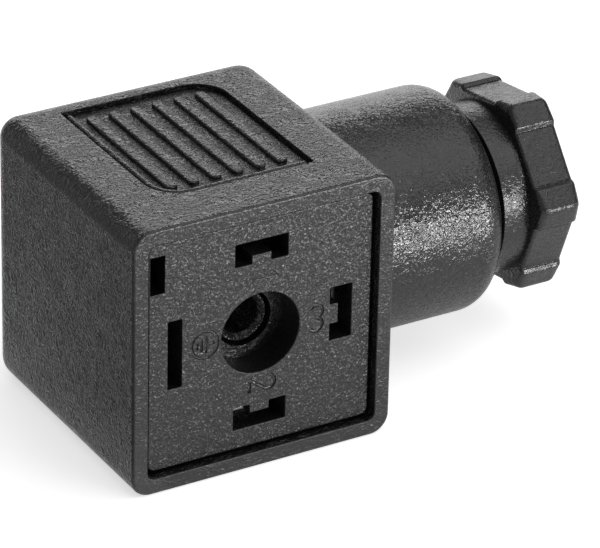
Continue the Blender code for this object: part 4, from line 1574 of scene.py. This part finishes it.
@dataclass
class CableGland(SubAssembly):
    """The lobed clamping nut with its thread, and the washer and seal that it presses."""

    flange: float = 4.65 * MM
    lobe_count: int = 6
    flat_radius: float = 9.2 * MM
    lobe_reach: float = 10.85 * MM
    crest_radius: float = 0.8 * MM
    lobe_half_width: float = 2.2 * MM
    lobe_angle: float = math.radians(8.9)
    step_height: float = 0.40 * MM
    step_lean: float = 0.2 * MM
    step_radius: float = 0.3 * MM
    crease_radius: float = 0.15 * MM
    seam_radius: float = 0.09 * MM
    seam_start: float = 0.3 * MM
    waist: float = 0.4
    near_edge: float = 0.4 * MM
    near_crest: float = 0.9 * MM
    far_edge: float = 0.6 * MM
    far_crest: float = 1.0 * MM
    neck_radius: float = 8.6 * MM
    relief_radius: float = 7.9 * MM
    relief_length: float = 1.6 * MM
    relief_edge: float = 0.08 * MM
    relief_root: float = 0.1 * MM
    relief_foot: float = 0.2 * MM
    relief_slope: float = 0.4 * MM
    neck_round: float = 0.3 * MM
    neck_steps: int = 4
    thread_length: float = 4.9 * MM
    thread_pitch: float = 1.411 * MM
    thread_ridge: float = 0.38 * MM
    thread_runout: float = 0.4
    shell: float = 2.1 * MM
    thread_radius: float = 9.0 * MM
    cable_radius: float = 5.6 * MM
    mouth_radius: float = 0.7 * MM
    ring_edge: float = 0.15 * MM
    seal_hole: float = 4.6 * MM
    seal_taper: float = 0.8 * MM
    inner_end: float = field(init=False)
    outer_end: float = field(init=False)
    flange_face: float = field(init=False)

    def build(self) -> None:
        """Build the nut, its thread, the washer and the seal."""
        low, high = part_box("gland_nut")
        self.inner_end = low.x
        self.outer_end = high.x
        self.flange_face = self.outer_end - self.flange
        nut = Carving(self.lobed_flange()).join(self.neck()).cut(self.bore(), *self.seams()).finish()
        self.hand_over(nut, self.finishes.nut, "gland_nut", "black_nylon", "gland_nut")
        self.hand_over(self.nut_thread(), self.finishes.nut, "gland_nut", "black_nylon")
        self.hand_over(self.washer(), self.finishes.washer, "gland_washer", "grey_nylon", "gland_washer")
        self.seal()

    def flat_line(self, across: float, inset: float) -> float:
        """Return how far along a lobe's axis the flat beside it lies.

        Args:
            across: The distance from the lobe's axis.
            inset: How far the flat is moved in.

        Returns:
            The distance from the gland's axis.
        """
        half_step = math.pi / self.lobe_count
        return (self.flat_radius - inset - across * math.sin(half_step)) / math.cos(half_step)

    def lobe_turns(self) -> list[Matrix]:
        """Work out where the lobes stand.

        Returns:
            The turn of each lobe's axis.
        """
        step = 2 * math.pi / self.lobe_count
        first = math.pi - self.lobe_angle
        return [Matrix.Rotation(first + step * index, 2) for index in range(self.lobe_count)]

    def seams(self) -> list[Piece]:
        """Draw the fine lines along the creases beside each lobe.

        Returns:
            The cutters, two for each lobe.
        """
        beads = []
        path = [(self.flange_face + self.seam_start, 0.0), (self.outer_end - self.far_edge, 0.0)]
        foot = self.flat_line(self.lobe_half_width, 0.0)
        for turn in self.lobe_turns():
            for side in (-self.lobe_half_width, self.lobe_half_width):
                spot = turn @ Vector((foot, side))
                plane = Matrix.Translation(self.places.gland + Vector((0.0, spot.x, spot.y)))
                name = "seam_%d" % len(beads)
                beads.append(self.finishes.bead.make(name, path, plane, Radius=self.seam_radius))
        return beads

    def outline(self, flat_inset: float, crest_inset: float) -> Outline:
        """Return the flange's outline: a hexagon's flats, with a stepped lobe proud of each corner.

        Args:
            flat_inset: How far the flats are moved in.
            crest_inset: How far the lobes' crests are moved in.

        Returns:
            The outline, with as many points for every inset.
        """
        half = self.lobe_half_width - self.waist * flat_inset
        top = half - self.step_lean
        foot = self.flat_line(half, flat_inset)
        shoulder = self.flat_line(top, flat_inset) + self.step_height
        reach = self.lobe_reach - crest_inset
        slope = math.atan2(top, reach - shoulder)
        apex = reach + self.crest_radius * (1.0 / math.sin(slope) - 1.0)
        lobe = [
            (foot, -half, self.crease_radius),
            (shoulder, -top, self.step_radius),
            (apex, 0.0, self.crest_radius),
            (shoulder, top, self.step_radius),
            (foot, half, self.crease_radius),
        ]
        corners = []
        for turn in self.lobe_turns():
            for across, up, radius in lobe:
                spot = turn @ Vector((across, up))
                corners.append((spot.x, spot.y, radius))
        return rounded_path(corners, ROUND_STEPS)

    def edge_rings(self, flat_edge: float, crest_edge: float) -> list[Ring]:
        """Return the rings of one of the flange's edges, rounder at the crests than at the flats.

        Args:
            flat_edge: The radius of the edge at the flats.
            crest_edge: Its radius at the crests.

        Returns:
            The distance from the face and the outline of each ring, from the face inwards.
        """
        rings = []
        for along, growth in edge_round(crest_edge, WIDE_STEPS):
            short = max(flat_edge - along, 0.0)
            flat_inset = flat_edge - math.sqrt(flat_edge**2 - short**2)
            rings.append((along, self.outline(flat_inset, -growth)))
        return rings

    def lobed_flange(self) -> Piece:
        """Make the flange with its rounded edges.

        Returns:
            The flange.
        """
        near = self.edge_rings(self.near_edge, self.near_crest)
        far = self.edge_rings(self.far_edge, self.far_crest)
        rings = [(self.flange_face + along, outline) for along, outline in near]
        rings += [(self.outer_end - along, outline) for along, outline in reversed(far)]
        return loft("gland_nut_body", Axis.GLAND, self.places.gland, rings)

    def neck(self) -> Piece:
        """Make the neck that runs into the sleeve, relieved where its thread ends.

        Returns:
            The neck, still solid.
        """
        relief = self.inner_end + self.thread_length
        corners = [
            (0.0, self.flange_face + PIERCE, 0.0),
            (self.neck_radius, self.flange_face + PIERCE, 0.0),
            (self.neck_radius, relief + self.relief_length, self.relief_edge),
            (self.relief_radius, relief + self.relief_length - self.relief_root, self.relief_root),
            (self.relief_radius, relief, self.relief_foot),
            (self.neck_radius, relief - self.relief_slope, 0.0),
            (self.neck_radius, self.inner_end, self.neck_round),
            (0.0, self.inner_end, 0.0),
        ]
        profile = rounded_path(corners, self.neck_steps, closed=False)
        return turned("nut_neck", Axis.GLAND, self.places.gland, profile, LARGE_TURN)

    def bore(self) -> Piece:
        """Make the cable's bore, wider inside the thread.

        Returns:
            The cutter.
        """
        inner = self.thread_radius - self.shell
        step = inner - self.cable_radius
        profile = [(0.0, self.outer_end + MOUTH_REACH)]
        for depth, growth in mouth_round(self.mouth_radius):
            profile.append((self.cable_radius + growth, self.outer_end - depth))
        profile += [
            (self.cable_radius, self.flange_face),
            (inner, self.flange_face - step),
            (inner, self.inner_end - PIERCE),
            (0.0, self.inner_end - PIERCE),
        ]
        return turned("cable_bore", Axis.GLAND, self.places.gland, profile, LARGE_TURN, HALF_FACET)

    def nut_thread(self) -> Piece:
        """Make the thread on the nut's neck.

        Returns:
            The thread.
        """
        return self.thread(
            "nut_thread",
            Axis.GLAND,
            self.places.gland + Vector((self.inner_end + self.ring_edge, 0.0, 0.0)),
            Core=self.neck_radius,
            Ridge=self.thread_ridge,
            Pitch=self.thread_pitch,
            Length=self.thread_length - 2 * self.ring_edge,
            Runout=self.thread_runout,
        )

    def ring(self, name: str, node: str, hole: float, edges: tuple[float, float]) -> Piece:
        """Return a turned ring in the place of a node.

        Args:
            name: The piece's name.
            node: The node whose box it fills.
            hole: The radius of its hole.
            edges: The rounding of its outer and of its inner edges.

        Returns:
            The ring.
        """
        low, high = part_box(node)
        radius = (high.z - low.z) / 2
        corners = [
            (radius, high.x, edges[0]),
            (radius, low.x, edges[0]),
            (hole, low.x, edges[1]),
            (hole, high.x, edges[1]),
        ]
        return turned(name, Axis.GLAND, self.places.gland, rounded_path(corners, ROUND_STEPS), LARGE_TURN)

    def washer(self) -> Piece:
        """Return the washer."""
        edges = (self.ring_edge, self.ring_edge)
        return smooth(self.ring("gland_washer_ring", "gland_washer", self.cable_radius, edges))

    def seal(self) -> None:
        """Build the rubber seal, which the nut squeezes against its seat."""
        edges = (self.seal_taper, self.seal_taper)
        seal = smooth(self.ring("grommet_seal", "gland_grommet", self.seal_hole, edges))
        self.hand_over(seal, self.finishes.rubber, "housing", "black_rubber", "gland_grommet")
        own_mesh(seal)


@dataclass(frozen=True)
class ScrewShape:
    """Sizes of a slotted cheese head screw with an M3 thread."""

    head_height: float
    head_round: float
    slot_width: float
    slot_depth: float
    tip_chamfer: float
    plain: float
    core_radius: float = 1.26 * MM
    shank_radius: float = 1.5 * MM
    shank_slope: float = 0.2 * MM
    shank_root: float = 0.1 * MM
    head_foot: float = 0.08 * MM
    slot_corner: float = 0.02 * MM
    ridge: float = 0.22 * MM
    pitch: float = 0.5 * MM
    runout: float = 0.6
    steps: int = 5
    slot_steps: int = 2


@dataclass
class Screws(SubAssembly):
    """The long centre screw with its seal, and the terminals' screws."""

    centre: ScrewShape = ScrewShape(
        head_height=2.0 * MM,
        head_round=0.35 * MM,
        slot_width=0.8 * MM,
        slot_depth=0.9 * MM,
        tip_chamfer=0.35 * MM,
        plain=14.0 * MM,
    )
    terminal: ScrewShape = ScrewShape(
        head_height=1.8 * MM,
        head_round=0.3 * MM,
        slot_width=0.7 * MM,
        slot_depth=0.8 * MM,
        tip_chamfer=0.3 * MM,
        plain=0.3 * MM,
    )
    seal_hole: float = 1.75 * MM
    seal_round: float = 0.3 * MM
    seal_hole_round: float = 0.1 * MM

    def build(self) -> None:
        """Build every screw and the centre screw's seal."""
        self.screw("centre_screw", self.centre)
        for station in Station:
            self.screw("terminal_screw_" + station.label, self.terminal)
        self.seal()

    def screw(self, node: str, shape: ScrewShape) -> None:
        """Build a screw's turned body and its thread in the place of a node.

        Args:
            node: The node that they stand for, whose body has its name.
            shape: The screw's sizes.
        """
        low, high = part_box(node)
        middle = (low + high) / 2
        origin = Vector((middle.x, 0.0, middle.z))
        head_radius = (high.x - low.x) / 2
        under = high.y - shape.head_height
        neck = under - shape.plain
        corners = [
            (0.0, high.y, 0.0),
            (head_radius, high.y, shape.head_round),
            (head_radius, under, shape.head_foot),
            (shape.shank_radius, under, shape.shank_root),
            (shape.shank_radius, neck, 0.0),
            (shape.core_radius, neck - shape.shank_slope, 0.0),
            (shape.core_radius, low.y + shape.tip_chamfer, 0.0),
            (shape.core_radius - shape.tip_chamfer, low.y, 0.0),
            (0.0, low.y, 0.0),
        ]
        profile = rounded_path(corners, shape.steps, closed=False)
        blank = turned(node + "_body", Axis.MATING, origin, profile, SMALL_TURN)
        slot = self.driver_slot(node, origin, high.y, head_radius, shape)
        self.hand_over(Carving(blank).cut(slot).finish(), self.finishes.zinc, node, "zinc_steel", node)
        thread = self.thread(
            node + "_thread",
            Axis.MATING,
            origin + Vector((0.0, low.y + shape.tip_chamfer / 2, 0.0)),
            Core=shape.core_radius,
            Ridge=shape.ridge,
            Pitch=shape.pitch,
            Length=neck - low.y - shape.tip_chamfer,
            Runout=shape.runout,
        )
        self.hand_over(thread, self.finishes.zinc, node, "zinc_steel")

    def driver_slot(
        self, node: str, origin: Vector, top: float, head_radius: float, shape: ScrewShape
    ) -> Piece:
        """Return the cutter of the slot across a screw's head.

        Args:
            node: The screw's node.
            origin: The screw's axis.
            top: Where the head ends.
            head_radius: The head's radius.
            shape: The screw's sizes.

        Returns:
            The cutter.
        """
        radii = (shape.slot_corner,) * 4
        outline = rectangle(head_radius + PIERCE, shape.slot_width / 2, radii, shape.slot_steps)
        rings = [(top - shape.slot_depth, outline), (top + PIERCE, outline)]
        return loft(node + "_slot", Axis.MATING, origin, rings)

    def seal(self) -> None:
        """Build the rubber ring under the centre screw's head."""
        low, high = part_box("screw_seal")
        radius = (high.x - low.x) / 2
        corners = [
            (radius, high.y, self.seal_round),
            (radius, low.y, self.seal_round),
            (self.seal_hole, low.y, self.seal_hole_round),
            (self.seal_hole, high.y, self.seal_hole_round),
        ]
        origin = Vector((0.0, 0.0, self.places.axis_height))
        profile = rounded_path(corners, ROUND_STEPS)
        ring = turned("screw_seal_ring", Axis.MATING, origin, profile, SMALL_TURN)
        self.hand_over(smooth(ring), self.finishes.rubber, "screw_seal", "black_rubber", "screw_seal")


@dataclass
class Terminals(SubAssembly):
    """The stamped contacts and their wire clamps, with eased sheet edges."""

    sheet_edge: float = 0.09 * MM
    edge_angle: float = math.radians(30.0)
    edge_segments: int = 2

    def build(self) -> None:
        """Build each station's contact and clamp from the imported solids."""
        for station in Station:
            contact = "contact_" + station.label
            sheet = self.eased(contact, "sheet")
            self.hand_over(sheet, self.finishes.brass, "insert", "tinned_brass", contact)
            clamp = "wire_clamp_" + station.label
            plate = self.eased(clamp, "plate")
            self.hand_over(plate, self.finishes.zinc, clamp, "zinc_steel", clamp)

    def eased(self, node: str, ending: str) -> Piece:
        """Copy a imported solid, with its loose triangles merged and its edges eased.

        Args:
            node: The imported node.
            ending: The ending of the piece's name.

        Returns:
            The piece.
        """
        body = bmesh.new()
        body.from_mesh(self.frame["nodes"][node].data)
        bmesh.ops.remove_doubles(body, verts=body.verts, dist=MERGE_DISTANCE)
        bmesh.ops.dissolve_limit(body, angle_limit=FLAT_ANGLE, verts=body.verts, edges=body.edges)
        piece = make_object(node + "_" + ending, body)
        bevel = piece.modifiers.new("eased_edges", "BEVEL")
        bevel.width = self.sheet_edge
        bevel.segments = self.edge_segments
        bevel.limit_method = "ANGLE"
        bevel.angle_limit = self.edge_angle
        return smooth(settle(piece))


@dataclass(frozen=True)
class Softbox:
    """A soft lamp that points at the plug, by its direction, distance, size and brightness."""

    name: str
    direction: Triple
    distance: float
    width: float
    height: float
    radiance: float

    def hang(self, aim: Vector) -> None:
        """Hang the lamp.

        Args:
            aim: The point that it points at.
        """
        lamp = bpy.data.lights.new(self.name, "AREA")
        lamp.shape = "RECTANGLE"
        lamp.size = self.width
        lamp.size_y = self.height
        lamp.energy = math.pi * self.width * self.height * self.radiance
        holder = bpy.data.objects.new(self.name, lamp)
        towards = Vector(self.direction).normalized()
        holder.location = aim + towards * self.distance
        holder.rotation_euler = towards.to_track_quat("Z", "Y").to_euler()
        holder.visible_camera = False
        bpy.context.scene.collection.objects.link(holder)


@dataclass(frozen=True)
class Card:
    """A card by the plug that only reflections show, where it paints shade, by the way it faces, its middle
    and half its sizes.
    """

    name: str
    axis: Axis
    middle: Triple
    half_sizes: Point
    grey: float
    glow: float = 0.0
    corner: float = 0.01
    thickness: float = FLOOR_GAP

    def lay(self) -> None:
        """Lay the card."""
        outline = rectangle(*self.half_sizes, (self.corner,) * 4, MOUTH_STEPS)
        card = loft(self.name, self.axis, Vector(self.middle), [(0.0, outline), (self.thickness, outline)])
        card.data.materials.append(PlainPaint(self.name + "_paint", self.grey, self.glow).make())
        # Painted shade: hidden from the camera, from shadows and from diffuse light, the card only darkens
        # what the plug reflects.
        card.visible_camera = False
        card.visible_diffuse = False
        card.visible_shadow = False


@dataclass
class Studio:
    """The pale floor, the soft lamps, the cards and the camera at the photograph's place."""

    places: Places
    azimuth: float = math.radians(30.617)
    elevation: float = math.radians(28.207)
    roll: float = math.radians(1.281)
    distance: float = 432.74 * MM
    aside: float = -3.251 * MM
    above: float = -5.719 * MM
    focal_pixels: float = 4700.0
    clip: Point = (0.01, 10.0)
    floor_half: float = 3.0
    floor_drop: float = FLOOR_GAP
    floor: PlainPaint = PlainPaint("floor_paint", grey=0.92, glow=0.58, dull=0.9, shine=0.1)
    sky: float = 0.32
    lamps: tuple[Softbox, ...] = (
        Softbox("overhead_lamp", (0.40, -0.30, 0.85), distance=0.7, width=0.8, height=0.8, radiance=1.4),
        Softbox("rear_lamp", (0.45, 0.80, 0.28), distance=0.8, width=0.6, height=0.36, radiance=2.1),
        Softbox(
            "front_lamp", (0.505, -0.863, 0.001), distance=0.2565, width=0.13, height=0.026, radiance=46.0
        ),
    )
    # Painted shade in reflections: each card is dimmer than what lies behind it. The left card darkens the
    # left face, the front card, which glows less than the floor, darkens the front faces and the sleeve's
    # lower side, and the right card darkens the sleeve's rounded end.
    cards: tuple[Card, ...] = (
        Card("left_card", Axis.SUNK, (-0.11625, 0.0943, FLOOR_GAP), (0.1, 0.15), grey=0.35),
        Card("front_card", Axis.SUNK, (0.19, -0.1443, FLOOR_GAP), (0.2, 0.15), grey=0.92, glow=0.2),
        Card("right_card", Axis.GLAND, (0.30, 0.05, 0.10), (0.20, 0.09), grey=0.06),
    )

    def build(self) -> None:
        """Lay the floor and the cards, hang the lamps and set up the camera."""
        self.lay_floor()
        for card in self.cards:
            card.lay()
        for lamp in self.lamps:
            lamp.hang(self.places.mating)
        self.light_sky()
        self.set_camera()
        bpy.context.scene.view_settings.view_transform = "Standard"

    def light_sky(self) -> None:
        """Light the plug evenly from all round."""
        world = bpy.data.worlds.new("studio")
        world.use_nodes = True
        backdrop = world.node_tree.nodes["Background"]
        backdrop.inputs["Color"].default_value = (1.0, 1.0, 1.0, 1.0)
        backdrop.inputs["Strength"].default_value = self.sky
        bpy.context.scene.world = world

    def lay_floor(self) -> None:
        """Lay the pale floor just under the plug."""
        body = bmesh.new()
        bmesh.ops.create_grid(body, x_segments=1, y_segments=1, size=self.floor_half)
        floor = make_object("floor", body)
        floor.location.z = -self.floor_drop
        floor.data.materials.append(self.floor.make())

    def set_camera(self) -> None:
        """Place the camera by its angles round the middle of the rim."""
        level = math.cos(self.elevation)
        ahead = Vector((math.sin(self.azimuth) * level, math.cos(self.azimuth) * level, 0.0))
        back = Vector((0.0, 0.0, math.sin(self.elevation))) - ahead
        right = Vector((math.cos(self.azimuth), -math.sin(self.azimuth), 0.0))
        up = back.cross(right)
        across = math.cos(self.roll) * right + math.sin(self.roll) * up
        upward = math.cos(self.roll) * up - math.sin(self.roll) * right
        lens = bpy.data.cameras.new("photo_camera")
        lens.sensor_fit = "HORIZONTAL"
        lens.sensor_width = SENSOR_WIDTH
        lens.lens = SENSOR_WIDTH * self.focal_pixels / IMAGE_WIDTH
        lens.clip_start, lens.clip_end = self.clip
        camera = bpy.data.objects.new("photo_camera", lens)
        place = self.places.mating + back * self.distance - across * self.aside - upward * self.above
        turn = Matrix((across, upward, back)).transposed().to_4x4()
        camera.matrix_world = Matrix.Translation(place) @ turn
        bpy.context.scene.collection.objects.link(camera)
        bpy.context.scene.camera = camera


def main() -> None:
    """Build every sub-assembly in order, then the studio."""
    logging.basicConfig(level=logging.INFO, format="%(message)s")
    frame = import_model()
    places = Places.read(frame)
    finishes = Finishes()
    for kind in (Housing, ContactInsert, CableGland, Screws, Terminals):
        kind(frame, places, finishes).build()
    Studio(places).build()


if __name__ == "__main__":
    main()
